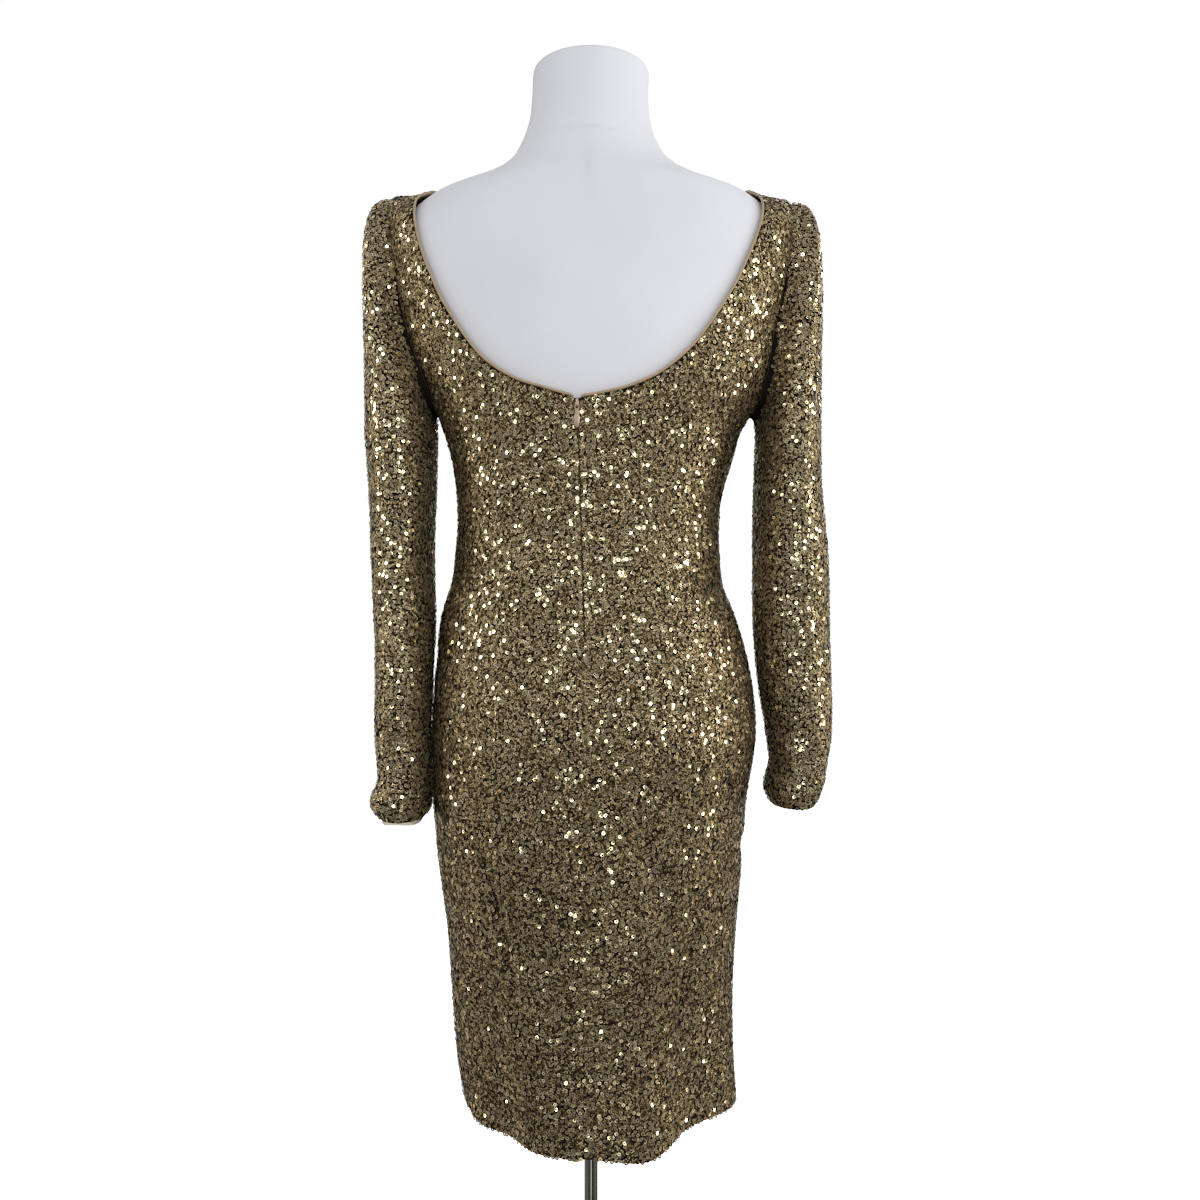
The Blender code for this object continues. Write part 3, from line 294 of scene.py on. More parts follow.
SECTIONS = np.array(
    # height, half_width, shift, back, front, square
    [
        (0.500, 0.1270, -0.0095, 0.1150, 0.1110, 2.00),
        (0.545, 0.1275, -0.0092, 0.1155, 0.1115, 2.00),
        (0.600, 0.1298, -0.0038, 0.1155, 0.1125, 2.02),
        (0.660, 0.1322, -0.0012, 0.1175, 0.1140, 2.05),
        (0.720, 0.1365, -0.0008, 0.1210, 0.1150, 2.08),
        (0.780, 0.1436, 0.0006, 0.1240, 0.1150, 2.10),
        (0.812, 0.1465, 0.0008, 0.1257, 0.1140, 2.11),
        (0.842, 0.1488, 0.0012, 0.1269, 0.1130, 2.13),
        (0.870, 0.1517, -0.0007, 0.1277, 0.1113, 2.14),
        (0.895, 0.1535, -0.0026, 0.1279, 0.1098, 2.16),
        (0.935, 0.1522, -0.0028, 0.1250, 0.1060, 2.18),
        (0.975, 0.1475, -0.0008, 0.1180, 0.1010, 2.20),
        (1.010, 0.1405, 0.0022, 0.1100, 0.0970, 2.20),
        (1.045, 0.1295, 0.0038, 0.1020, 0.0945, 2.20),
        (1.080, 0.1250, 0.0030, 0.0965, 0.0945, 2.20),
        (1.125, 0.1252, 0.0018, 0.0935, 0.1000, 2.20),
        (1.165, 0.1335, -0.0010, 0.0935, 0.1100, 2.20),
        (1.200, 0.1448, -0.0018, 0.0955, 0.1200, 2.20),
        (1.215, 0.1540, -0.0040, 0.0968, 0.1232, 2.20),
        (1.240, 0.1662, -0.0040, 0.0990, 0.1265, 2.20),
        (1.285, 0.1800, 0.0000, 0.1020, 0.1230, 2.20),
        (1.330, 0.1900, 0.0000, 0.1020, 0.1090, 2.18),
        (1.362, 0.1945, 0.0000, 0.0980, 0.0970, 2.15),
        (1.387, 0.1900, 0.0000, 0.0925, 0.0880, 2.10),
        (1.401, 0.1790, 0.0000, 0.0890, 0.0830, 2.06),
        (1.412, 0.1660, 0.0000, 0.0855, 0.0795, 2.04),
        (1.422, 0.1485, 0.0000, 0.0815, 0.0755, 2.02),
        (1.4300, 0.1225, 0.0000, 0.0775, 0.0715, 2.00),
        (1.439, 0.0998, 0.0000, 0.0735, 0.0675, 2.00),
        (1.452, 0.0800, 0.0006, 0.0690, 0.0635, 2.00),
        (1.469, 0.0680, 0.0013, 0.0640, 0.0595, 2.00),
        (1.492, 0.0595, 0.0010, 0.0590, 0.0565, 2.00),
        (1.518, 0.0565, 0.0008, 0.0565, 0.0555, 2.00),
        (1.545, 0.0568, -0.0002, 0.0560, 0.0555, 2.00),
        (1.600, 0.0568, -0.0002, 0.0560, 0.0555, 2.00),
    ]
)
HEM_WAVES = np.array(
    # angle, lift, flute
    [
        (0, 0.019, 0.000),
        (15, 0.016, 0.002),
        (31, 0.006, 0.001),
        (49, 0.003, -0.007),
        (63, 0.000, 0.000),
        (90, 0.000, 0.001),
        (108, -0.003, 0.004),
        (129, 0.010, -0.008),
        (157, 0.012, 0.003),
        (180, 0.006, 0.001),
        (205, 0.010, 0.004),
        (228, 0.004, -0.006),
        (252, 0.007, 0.004),
        (275, 0.003, -0.003),
        (300, 0.006, 0.004),
        (328, 0.010, -0.006),
        (360, 0.019, 0.000),
    ]
)
BODY_FOLDS = (
    # angle, height, half_length, half_width, lean in degrees, depth
    (62, 1.095, 0.060, 0.012, -14, 0.0026),
    (30, 1.060, 0.050, 0.011, 11, 0.0030),
    (118, 1.088, 0.060, 0.012, 12, 0.0026),
    (150, 1.052, 0.050, 0.012, -10, 0.0030),
    (168, 0.800, 0.040, 0.010, -19, 0.0032),
    (20, 0.985, 0.045, 0.012, 22, 0.0022),
    (75, 0.960, 0.060, 0.014, 7, 0.0018),
    (128, 0.930, 0.055, 0.014, -9, 0.0018),
    (232, 1.090, 0.055, 0.012, 12, 0.0026),
    (300, 1.065, 0.055, 0.012, -11, 0.0028),
    (205, 1.010, 0.045, 0.012, -19, 0.0024),
    (335, 1.120, 0.045, 0.012, 17, 0.0024),
    # the long pulls in the skirt, and the fan of short ones below the zip
    (57, 0.740, 0.075, 0.0045, -81, 0.0062),
    (100, 0.845, 0.045, 0.0050, 84, 0.0038),
    (69, 0.890, 0.040, 0.0060, 97, 0.0014),
    (84, 0.880, 0.045, 0.0050, 92, 0.0012),
    (112, 0.790, 0.050, 0.0055, 100, 0.0042),
    (76, 0.700, 0.060, 0.0055, 93, 0.0040),
    (128, 0.690, 0.070, 0.0055, 86, 0.0046),
    (98, 0.640, 0.060, 0.0055, 92, 0.0040),
    (40, 0.650, 0.060, 0.0065, 84, 0.0014),
    (145, 0.720, 0.055, 0.0065, 95, 0.0014),
    (160, 1.075, 0.030, 0.0050, 24, 0.0014),
    (22, 1.085, 0.026, 0.0045, -20, 0.0012),
    (215, 0.800, 0.060, 0.0065, 94, 0.0014),
    (246, 0.690, 0.075, 0.0065, 86, 0.0018),
    (270, 0.780, 0.055, 0.0060, 91, 0.0012),
    (292, 0.660, 0.060, 0.0070, 97, 0.0015),
    (318, 0.730, 0.065, 0.0065, 84, 0.0016),
    (250, 1.150, 0.030, 0.0050, -24, 0.0012),
    (292, 1.140, 0.028, 0.0050, 20, 0.0012),
)
CENTRE_BACK = np.array(
    # height, across
    [
        (0.500, 0.0000),
        (0.800, 0.0008),
        (0.990, 0.0045),
        (1.070, 0.0073),
        (1.160, 0.0096),
        (1.2095, 0.0115),
    ]
)
NECK_LEFT = np.array(
    # across, height
    [
        (0.0115, 1.2095),
        (0.0416, 1.2185),
        (0.0707, 1.2293),
        (0.1006, 1.2519),
        (0.1306, 1.2955),
        (0.1457, 1.3277),
        (0.1585, 1.3620),
        (0.1640, 1.3888),
        (0.1620, 1.4070),
        (0.1485, 1.4220),
    ]
)
NECK_RIGHT = np.array(
    # across, height
    [
        (0.0115, 1.2095),
        (-0.0094, 1.2130),
        (-0.0381, 1.2204),
        (-0.0672, 1.2355),
        (-0.0965, 1.2629),
        (-0.1262, 1.3071),
        (-0.1416, 1.3382),
        (-0.1558, 1.3730),
        (-0.1605, 1.3930),
        (-0.1590, 1.4080),
        (-0.1485, 1.4220),
    ]
)
NECK_ACROSS_FRONT = np.array(
    # across, height
    [
        (0.0000, 1.3560),
        (0.0450, 1.3590),
        (0.0880, 1.3690),
        (0.1200, 1.3850),
        (0.1400, 1.4045),
        (0.1485, 1.4220),
    ]
)
ARMHOLE = np.array(
    # height, back_angle, front_angle
    [
        (1.208, 0.0, 0.0),
        (1.219, 10.0, 12.0),
        (1.243, 16.5, 21.0),
        (1.275, 18.0, 25.0),
        (1.318, 16.0, 24.0),
        (1.356, 12.0, 18.0),
        (1.379, 6.5, 9.0),
        (1.387, 0.0, 0.0),
    ]
)


def through(table, column, at):
    """A smooth curve through a table's rows: cubic pieces whose slopes are those of the neighbours."""
    knots, values = table[:, 0], table[:, column]
    slopes = np.gradient(values, knots)
    at = np.clip(at, knots[0], knots[-1])
    low = np.clip(np.searchsorted(knots, at) - 1, 0, len(knots) - 2)
    step = knots[low + 1] - knots[low]
    s = (at - knots[low]) / step
    return (
        values[low] * (1 + 2 * s) * (1 - s) ** 2
        + values[low + 1] * s * s * (3 - 2 * s)
        + slopes[low] * step * s * (1 - s) ** 2
        + slopes[low + 1] * step * s * s * (s - 1)
    )


def signed_power(value, power):
    """The size of a value to a power, with the value's own sign."""
    return np.sign(value) * np.abs(value) ** power


def ramp(value, start, end):
    """0 before start, 1 after end, smooth between them."""
    s = np.clip((value - start) / (end - start), 0, 1)
    return s * s * (3 - 2 * s)


def unit(vectors):
    """Vectors divided by their own lengths."""
    return vectors / np.linalg.norm(vectors, axis=-1, keepdims=True)


def section_point(angle, height):
    """A point of the body sections: a superellipse with its own depth behind and in front."""
    half, shift, back, front, square = (through(SECTIONS, k, height) for k in range(1, 6))
    around = np.radians(angle)
    cosine, sine = np.cos(around), np.sin(around)
    depth = np.where(sine > 0, back, front)
    across = shift + half * signed_power(cosine, 2 / square)
    return np.stack([across, depth * signed_power(sine, 2 / square), height + 0 * angle], -1)


def normals_of(surface, angle, height):
    """Outward normals: the cross product of the surface's slopes round the body and up it."""
    turned = NORMAL_STEP * NORMAL_TURN
    around = surface(angle + turned, height) - surface(angle - turned, height)
    up = surface(angle, height + NORMAL_STEP) - surface(angle, height - NORMAL_STEP)
    return unit(np.cross(around, up))


def creased(folds, angle, height, radius):
    """How far the folds press a wall inwards: each is a bell along and across its own leaning line."""
    depth = 0 * (angle + height)
    for at, level, half_length, half_width, lean, deep in folds:
        aside = np.radians((angle - at + 180) % 360 - 180) * radius
        up = height - level
        cosine, sine = np.cos(np.radians(lean)), np.sin(np.radians(lean))
        along, over = aside * cosine + up * sine, up * cosine - aside * sine
        depth = depth + deep * np.exp(-((along / half_length) ** 2) - (over / half_width) ** 2)
    return depth


def hung_point(angle, height):
    """The body section, with the hem's waves and the shoulders squared up by the sleeve heads."""
    low = ramp(height, HEM + HEM_WAVE_RISE, HEM)
    point = section_point(angle, height + through(HEM_WAVES, 1, angle % 360) * low)
    out = np.clip((np.abs(point[..., 0]) - LIFT_START) / LIFT_WIDTH, 0, 1)
    lift = np.where(point[..., 0] > 0, LIFT_LEFT, LIFT_RIGHT)
    point[..., 2] += lift * out**2 * ramp(height, LIFT_FROM, LIFT_FULL)
    return point


def inside_point(angle, height):
    """The inner face of the dress: hung_point moved along its normal by the hem's flutes and the folds."""
    flute = through(HEM_WAVES, 2, angle % 360) * ramp(height, HEM + FLUTE_RISE, HEM)
    press = creased(BODY_FOLDS, angle, height, FOLD_RADIUS)
    return hung_point(angle, height) + (flute - press)[..., None] * normals_of(hung_point, angle, height)


def angle_across(across, height, back=True):
    """The angle at which a section has this distance across."""
    half, shift, square = (through(SECTIONS, k, height) for k in (1, 2, 5))
    share = np.clip((across - shift) / half, -1, 1)
    angle = np.degrees(np.arccos(signed_power(share, square / 2)))
    return angle if back else -angle


def evenly(angle, height, count):
    """count + 1 angles and heights at even lengths along a line on the body sections."""
    line = section_point(angle, height)
    length = np.concatenate([[0], np.cumsum(np.linalg.norm(np.diff(line, axis=0), axis=1))])
    at = np.linspace(0, length[-1], count + 1)
    return np.interp(at, length, angle), np.interp(at, length, height)


def neckline(table, count, back=True):
    """A neckline of (across, height) rows as even angles and heights."""
    steps = np.linspace(0, len(table) - 1, NECK_FINENESS * len(table))
    rows = np.column_stack([np.arange(len(table)), table])
    across, height = through(rows, 1, steps), through(rows, 2, steps)
    return evenly(angle_across(across, height, back), height, count)


def armhole(column, count):
    """The armhole from the underarm to the shoulder tip as even angles and heights."""
    steps = np.linspace(0, len(ARMHOLE) - 1, ARMHOLE_FINENESS)
    rows = np.column_stack([np.arange(len(ARMHOLE)), ARMHOLE])
    return evenly(through(rows, column, steps), through(rows, 1, steps), count)


def spread(start, end):
    """Angles and heights of a panel's grid, straight across from its start edge to its end edge."""
    share = np.linspace(0, 1, PANEL_STEPS + 1)
    return tuple(a[:, None] + (b - a)[:, None] * share for a, b in zip(start, end))


def grid_faces(rows, columns, closed=False):
    """Quads of a grid of points, facing out where columns run round and rows run up."""
    number = np.arange(rows * columns).reshape(rows, columns)
    after = np.roll(number, -1, axis=1) if closed else number[:, 1:]
    here = number if closed else number[:, :-1]
    return np.stack([here[:-1], after[:-1], after[1:], here[1:]], -1).reshape(-1, 4)


def add_shell(name, outer, inner, faces, uv, finishes):
    """A closed shell: its outer faces, and in the second finish the same turned over inside and the rims."""
    count = len(outer)
    edges = np.stack([faces, np.roll(faces, -1, axis=1)], -1).reshape(-1, 2)
    key, turned = edges[:, 0] * count + edges[:, 1], edges[:, 1] * count + edges[:, 0]
    rim = edges[~np.isin(key, turned)]
    rims = np.stack([rim[:, 1], rim[:, 0], rim[:, 0] + count, rim[:, 1] + count], -1)
    everything = np.vstack([faces, faces[:, ::-1] + count, rims])
    which = np.repeat([0, 1, 1], [len(faces), len(faces), len(rims)])
    return add_piece(name, np.vstack([outer, inner]), [everything], finishes, which, uv=np.vstack([uv, uv]))


side_height = np.linspace(HEM, UNDERARM, SKIRT_STEPS + 1)
centre_height = HEM + (NECK_BACK - HEM) * (side_height - HEM) / (UNDERARM - HEM)
centre_angle = angle_across(through(CENTRE_BACK, 1, centre_height), centre_height)
hole_back, hole_back_height = armhole(2, UPPER_STEPS)
hole_front, hole_front_height = armhole(3, UPPER_STEPS)


def back_grid(neck, right):
    """Angles and heights of one back, from the hem to the shoulder seam."""
    angle, height = neckline(neck, UPPER_STEPS)
    centre = (np.append(centre_angle, angle[1:]), np.append(centre_height, height[1:]))
    around = np.append(0 * side_height, hole_back[1:])
    edge = (180 - around if right else around, np.append(side_height, hole_back_height[1:]))
    return spread(centre, edge) if right else spread(edge, centre)


def front_grid(right):
    """Angles and heights of half the front; above the neck's foot its rows end on the neckline."""
    angle, height = neckline(NECK_ACROSS_FRONT, FRONT_NECK_STEPS, back=False)
    rise = np.linspace(UNDERARM, NECK_FRONT, UPPER_STEPS - FRONT_NECK_STEPS + 1)[1:]
    middle = np.full(len(side_height) + len(rise), 90.0)
    centre = (np.append(middle, -angle[1:]), np.concatenate([side_height, rise, height[1:]]))
    around = np.append(0 * side_height, hole_front[1:])
    edge_height = np.append(side_height, hole_front_height[1:])
    if right:
        return spread((180 + around, edge_height), (180 + centre[0], centre[1]))
    return spread((360 - centre[0], centre[1]), (360 - around, edge_height))


def cloth_of(grid):
    """Outer and inner points of a panel's grid, and its weave's own coordinates in metres."""
    angle, height = grid
    inner = inside_point(angle, height)
    outer = inner + CLOTH * normals_of(inside_point, angle, height)
    return outer, inner, np.stack([np.radians(angle) * WEAVE_RADIUS, height], -1)


def net_finish():
    """Brown net: fine crossed threads over a darker ground, a little uneven, raised by a bump. The ground's
    own brown is deepened to nearly black as painted shade.
    """
    made, tree, shader = new_finish("sequin_net", Roughness=0.8, Specular_IOR_Level=0.2)
    place = add_node(tree, "ShaderNodeUVMap", {"uv_map": "cloth"})
    cells = add_node(
        tree,
        "ShaderNodeTexVoronoi",
        {"feature": "DISTANCE_TO_EDGE"},
        {"Vector": place, "Scale": 900.0, "Randomness": 0.35},
    )
    thread = add_node(
        tree, "ShaderNodeMapRange", sockets={"Value": cells, "From Min": 0.02, "From Max": 0.16}
    )
    patches = add_node(tree, "ShaderNodeTexNoise", sockets={"Vector": place, "Scale": 160.0})
    # the ground is nearly black: its own brown deepened into painted shade between the sequins and in the
    # bare strips
    ground = mixed(tree, patches, linear(10, 6, 2), linear(22, 15, 7))
    colour = mixed(tree, 1 - thread, ground, linear(36, 26, 13))
    tree.links.new(colour.socket, shader.inputs["Base Color"])
    bump = add_node(
        tree, "ShaderNodeBump", sockets={"Strength": 0.5, "Distance": 0.0003, "Height": 1 - thread}
    )
    tree.links.new(bump.socket, shader.inputs["Normal"])
    return made


def lining_finish(name, light, dark):
    """A fine knitted lining: narrow ribs across, with a soft mottling."""
    made, tree, shader = new_finish(name, Roughness=0.6, Sheen_Weight=0.2)
    place = add_node(tree, "ShaderNodeUVMap", {"uv_map": "cloth"})
    ribs = add_node(
        tree,
        "ShaderNodeTexWave",
        {"bands_direction": "Y"},
        {"Vector": place, "Scale": 260.0, "Distortion": 1.5, "Detail": 1.0},
        output=1,
    )
    mottle = add_node(tree, "ShaderNodeTexNoise", sockets={"Vector": place, "Scale": 60.0})
    colour = mixed(tree, ribs * 0.4 + mottle * 0.6, dark, light)
    tree.links.new(colour.socket, shader.inputs["Base Color"])
    bump = add_node(tree, "ShaderNodeBump", sockets={"Strength": 0.3, "Distance": 0.0002, "Height": ribs})
    tree.links.new(bump.socket, shader.inputs["Normal"])
    return made


net = net_finish()
nude = lining_finish("nude_lining", linear(196, 170, 136), linear(168, 142, 108))
underarm_row = SKIRT_STEPS
neck_row = SKIRT_STEPS + UPPER_STEPS - FRONT_NECK_STEPS  # the foot of the front neckline
rows = SKIRT_STEPS + UPPER_STEPS + 1
columns = PANEL_STEPS + 1
panel_faces = grid_faces(rows, columns)

back_sheets = {}
for side, neck in (("left", NECK_LEFT), ("right", NECK_RIGHT)):
    right = side == "right"
    outer, inner, uv = cloth_of(back_grid(neck, right))
    centre, edge = (0, -1) if right else (-1, 0)
    parted = SEAM / 2 + ZIP_PARTED * ramp(centre_height, ZIP_PARTED_FROM, NECK_BACK)
    for points in (outer, inner):
        points[: underarm_row + 1, centre, 0] += -parted if right else parted
        points[: underarm_row + 1, edge, 1] += SEAM / 2
        points[-1, :, 1] += SEAM / 2
    piece = add_shell(
        f"back_{side}_cloth",
        outer.reshape(-1, 3),
        inner.reshape(-1, 3),
        panel_faces,
        uv.reshape(-1, 2),
        [net, nude],
    )
    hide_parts(f"back_{side}")
    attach(piece, DRESS)
    back_sheets[side] = (outer, inner, piece)

halves = []
for right in (True, False):
    outer, inner, uv = cloth_of(front_grid(right))
    seam_column = 0 if right else -1
    for points in (outer, inner):
        points[: underarm_row + 1, seam_column, 1] -= SEAM / 2
        points[-1, :, 1] -= SEAM / 2
    halves.append((outer, inner, uv))
front_points = [
    np.vstack([points.reshape(-1, points.shape[-1]) for points in both]) for both in zip(*halves)
]
# both halves share the centre column up to the foot of the neckline
shared_rows = np.arange(neck_row + 1)
same = np.arange(2 * rows * columns)
same[rows * columns + shared_rows * columns] = shared_rows * columns + columns - 1
front_faces = np.vstack([panel_faces, same[panel_faces + rows * columns]])
used, front_faces = np.unique(front_faces, return_inverse=True)
front_piece = add_shell(
    "front_cloth",
    front_points[0][used],
    front_points[1][used],
    front_faces.reshape(-1, 4),
    front_points[2][used],
    [net, nude],
)
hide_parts("front")
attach(front_piece, DRESS)

# ---------------------------------------------------------------- sleeves
# Two long tubes of the same net and lining, eased into the armholes, with a narrow flare at the cuff. The
# head rises out of the armhole and turns down into level rings.

ARM_STEPS, HEAD_STEPS, RING_STEPS = 76, 20, 28
SLEEVE_GIRTH = 0.17  # halfway down the arm
HEAD_POWER = 0.9  # the head's rows lie a little closer together near the arm
HEAD_SPREAD = 0.45  # how far the head leans to the front and back, for its lean outwards
UNDERARM_REACH, UNDERARM_RISE = 0.004, 0.002  # the head's lean outwards and up below the arm
CAP_FALL = 0.7  # the power by which the lean grows to cap_reach on the outside of the arm
HEAD_DROP, HEAD_DROP_OUTSIDE = 0.3, 0.5  # share of its height in which it turns down; how much more outside
FOLDS_BELOW, SLEEVE_FOLD_RADIUS = 0.05, 0.045  # the head, where folds are full; the arm's radius for them
SLEEVE_LEFT = np.array(
    # height, outer, inner, middle, half_depth
    [
        (1.190, 0.2175, 0.1510, 0.0000, 0.0590),
        (1.147, 0.2140, 0.1515, 0.0030, 0.0570),
        (1.069, 0.2095, 0.1525, 0.0100, 0.0530),
        (1.010, 0.2050, 0.1500, 0.0200, 0.0490),
        (0.960, 0.2020, 0.1505, 0.0300, 0.0450),
        (0.890, 0.2010, 0.1510, 0.0340, 0.0400),
        (0.874, 0.1990, 0.1510, 0.0350, 0.0385),
        (0.858, 0.2000, 0.1505, 0.0350, 0.0385),
        (0.846, 0.2060, 0.1500, 0.0350, 0.0385),
        (0.836, 0.2050, 0.1510, 0.0350, 0.0365),
        (0.8265, 0.1970, 0.1570, 0.0350, 0.0335),
    ]
)
SLEEVE_RIGHT = np.array(
    # height, outer, inner, middle, half_depth
    [
        (1.190, 0.2212, 0.1620, 0.0000, 0.0590),
        (1.147, 0.2220, 0.1605, 0.0000, 0.0570),
        (1.105, 0.2260, 0.1590, 0.0000, 0.0550),
        (1.069, 0.2285, 0.1585, 0.0020, 0.0530),
        (1.000, 0.2300, 0.1590, 0.0040, 0.0490),
        (0.950, 0.2310, 0.1630, 0.0060, 0.0460),
        (0.893, 0.2300, 0.1715, 0.0080, 0.0410),
        (0.872, 0.2265, 0.1735, 0.0080, 0.0395),
        (0.856, 0.2240, 0.1685, 0.0080, 0.0395),
        (0.845, 0.2205, 0.1690, 0.0080, 0.0390),
        (0.834, 0.2150, 0.1750, 0.0080, 0.0360),
    ]
)
SLEEVE_FOLDS = (
    # angle, height, half_length, half_width, lean in degrees, depth
    (110, 1.155, 0.035, 0.011, 24, 0.0026),
    (70, 1.100, 0.035, 0.011, -19, 0.0022),
    (100, 1.035, 0.035, 0.012, 19, 0.0026),
    (60, 0.975, 0.030, 0.011, -22, 0.0020),
    (120, 0.905, 0.030, 0.010, 17, 0.0020),
    (260, 1.120, 0.035, 0.011, 22, 0.0024),
    (290, 1.020, 0.035, 0.012, -19, 0.0024),
    (250, 0.930, 0.030, 0.011, 17, 0.0020),
    # the finer wrinkles
    (80, 0.880, 0.022, 0.0045, -14, 0.0013),
    (110, 0.862, 0.020, 0.0045, 12, 0.0013),
    (90, 1.070, 0.022, 0.0050, 30, 0.0012),
    (120, 0.990, 0.020, 0.0050, -26, 0.0012),
    (40, 1.130, 0.024, 0.0050, -34, 0.0012),
    (270, 0.985, 0.022, 0.0050, 28, 0.0012),
    (230, 1.060, 0.024, 0.0050, -30, 0.0012),
)
SLEEVES = (
    # side, sections, cap_reach, cap_rise
    ("left", SLEEVE_LEFT, 0.035, 0.009),
    ("right", SLEEVE_RIGHT, 0.037, 0.013),
)


def sleeve_point(sections, fullness, around, height):
    """A point of a hanging sleeve: an ellipse between its outer and inner edge, pressed by the folds."""
    outer, inner, middle, depth = (through(sections[::-1], k, height) for k in range(1, 5))
    press = creased(SLEEVE_FOLDS, around, height, SLEEVE_FOLD_RADIUS) * fullness
    cosine, sine = np.cos(np.radians(around)), np.sin(np.radians(around))
    across = (outer + inner) / 2 + ((outer - inner) / 2 - press) * cosine
    return np.stack([across, middle + (depth - press) * sine, height + 0 * around], -1)


def sleeve_rings(sections, right, cap_reach, cap_rise):
    """Outer points of a sleeve, ring by ring from the armhole to the cuff, and the armhole's normals.

    Each head row is a cubic curve that leaves the armhole outwards and arrives pointing down at the first
    level ring. around is 0 on the outside of the arm, 90 at the back and 180 against the body.
    """
    back, back_height = armhole(2, RING_STEPS)
    fore, fore_height = armhole(3, RING_STEPS)
    angle = np.concatenate([back[::-1], -fore[1:-1]])
    height = np.concatenate([back_height[::-1], fore_height[1:-1]])
    angle = 180 - angle if right else angle
    around = np.arange(len(angle)) * 360 / len(angle)
    normal = normals_of(inside_point, angle, height)
    edge = inside_point(angle, height) + CLOTH * normal
    into = np.cross(normal, np.roll(edge, -1, axis=0) - np.roll(edge, 1, axis=0))
    into *= np.sign((into * (edge.mean(axis=0) - edge)).sum(axis=1, keepdims=True))
    mirror = np.array([-1.0 if right else 1.0, 1, 1])
    first = edge + SEAM * unit(into)
    level = sections[0, 0]
    last = sleeve_point(sections, 0, around, level + 0 * around) * mirror
    outside = (1 + np.cos(np.radians(around))) / 2
    lean = np.stack([1 + 0 * around, HEAD_SPREAD * np.sin(np.radians(around)), 0 * around], -1)
    lean *= (UNDERARM_REACH + (cap_reach - UNDERARM_REACH) * outside**CAP_FALL)[:, None] * mirror
    lean[:, 2] += cap_rise * outside**2 + UNDERARM_RISE * (1 - outside)
    drop = (first[:, 2] - last[:, 2]) * (HEAD_DROP + HEAD_DROP_OUTSIDE * outside)
    pull = last + drop[:, None] * np.array([0, 0, 1])
    s = (np.arange(HEAD_STEPS) / HEAD_STEPS)[:, None, None] ** HEAD_POWER
    head = (
        first * (1 - s) ** 3
        + 3 * (first + lean) * s * (1 - s) ** 2
        + 3 * pull * s * s * (1 - s)
        + last * s**3
    )
    at = np.linspace(level, sections[-1, 0], ARM_STEPS + 1)[:, None]
    fullness = ramp(at, level, level - FOLDS_BELOW)
    arm = sleeve_point(sections, fullness, around[None, :], at + 0 * around) * mirror
    return np.concatenate([head, arm]), normal


sleeve_sheets = {}
for side, sections, cap_reach, cap_rise in SLEEVES:
    right = side == "right"
    outer, seam_normal = sleeve_rings(sections, right, cap_reach, cap_rise)
    around_by = np.roll(outer, -1, axis=1) - np.roll(outer, 1, axis=1)
    normal = unit(np.cross(np.gradient(outer, axis=0), around_by) * (-1 if right else 1))
    normal[0] = seam_normal
    inner = outer - CLOTH * normal
    length = np.cumsum(np.linalg.norm(np.diff(outer, axis=0, prepend=outer[:1]), axis=-1), axis=0)
    count = outer.shape[1]
    # the weave runs both ways round from the outside of the arm, and its halves meet at the seam below it
    half_turn = np.minimum(np.arange(count), count - np.arange(count)) * SLEEVE_GIRTH / count
    uv = np.stack([half_turn + 0 * length, -length], -1)
    faces = grid_faces(len(outer), count, closed=True)
    faces = faces if right else faces[:, ::-1]
    piece = add_shell(
        f"sleeve_{side}_cloth",
        outer.reshape(-1, 3),
        inner.reshape(-1, 3),
        faces,
        uv.reshape(-1, 2),
        [net, nude],
    )
    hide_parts(f"sleeve_{side}")
    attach(piece, DRESS)
    sleeve_sheets[side] = (outer, inner, normal, piece)

# ---------------------------------------------------------------- sequins
# Flat gold sequins 3.8 mm across with a sewing hole, stitched close together all over the net. Each lies
# at its own small tilt, so that some mirror a lamp and others the dark.

SEQUIN_RADIUS, SEQUIN_HOLE, SEQUIN_CUP = 0.0019, 0.0008, 0.00002
RIM_POINTS, HOLE_POINTS = 6, 3
SEQUIN_GAP, SEQUIN_DENSITY = 0.00248, 1000000.0  # least space between middles; most to a square metre
SEQUIN_LIFT, SEQUIN_STACK = 0.0003, 0.0004  # the lowest above the net, and the highest above that
SEQUIN_TIPPED_LIFT = 0.5  # how far a tilted one is raised, for its radius
TOP_SHARE, TOP_LIFT = 0.28, 0.0003  # those that lie on the others, whole and bright
TILT, TOP_TILT = 7.0, 8.0  # degrees
DULL, BRIGHT = 0.48, 0.13  # roughness of the tucked ones and of those on top
FLECKS, FLECK_DEPTH, FLECK_CALM = 1000.0, 6.0, 0.7  # how fine, how deep, how much fainter on top
TUCKED_TONE, TUCKED_SPREAD = 0.20, 0.6  # the darkest of the tucked ones, and how far others rise above it
TOP_TONE, TOP_SPREAD = 0.7, 0.3  # the same of those on top
OVERLAP_PAINTED_SHADOW = 0.92  # painted shadow: how much darker a sequin is painted where the one above it covers it
OVERLAP_SHADOW_WAVER, OVERLAP_SHADOW_WIDTH = 0.25, 0.45  # of that painted shadow's edge, for the radius
# the sleeves: more sequins lie on top, and the rest are painted paler, painted light that brightens them
SLEEVE_MORE_ON_TOP_AND_PAINTED_PALER = 1.65
FRONT_SEED, SLEEVE_SEED = 10, 20
NECK_MARGIN, ZIP_MARGIN, CUFF_MARGIN = 0.0013, 0.0019, 0.0012
ZIP_END = 0.992
LINE_STEP, LINES_AT_ONCE = 0.0015, 50  # for the distance from a line: between its points, and in one go
ARMHOLE_PAINTED_SHADOW = (
    # below this height, bare dark net on each side of the armhole seam, painted shadow for the crease
    # between sleeve and body
    (1.335, 0.0022),
    (1.285, 0.0040),
    (1.250, 0.0070),
)


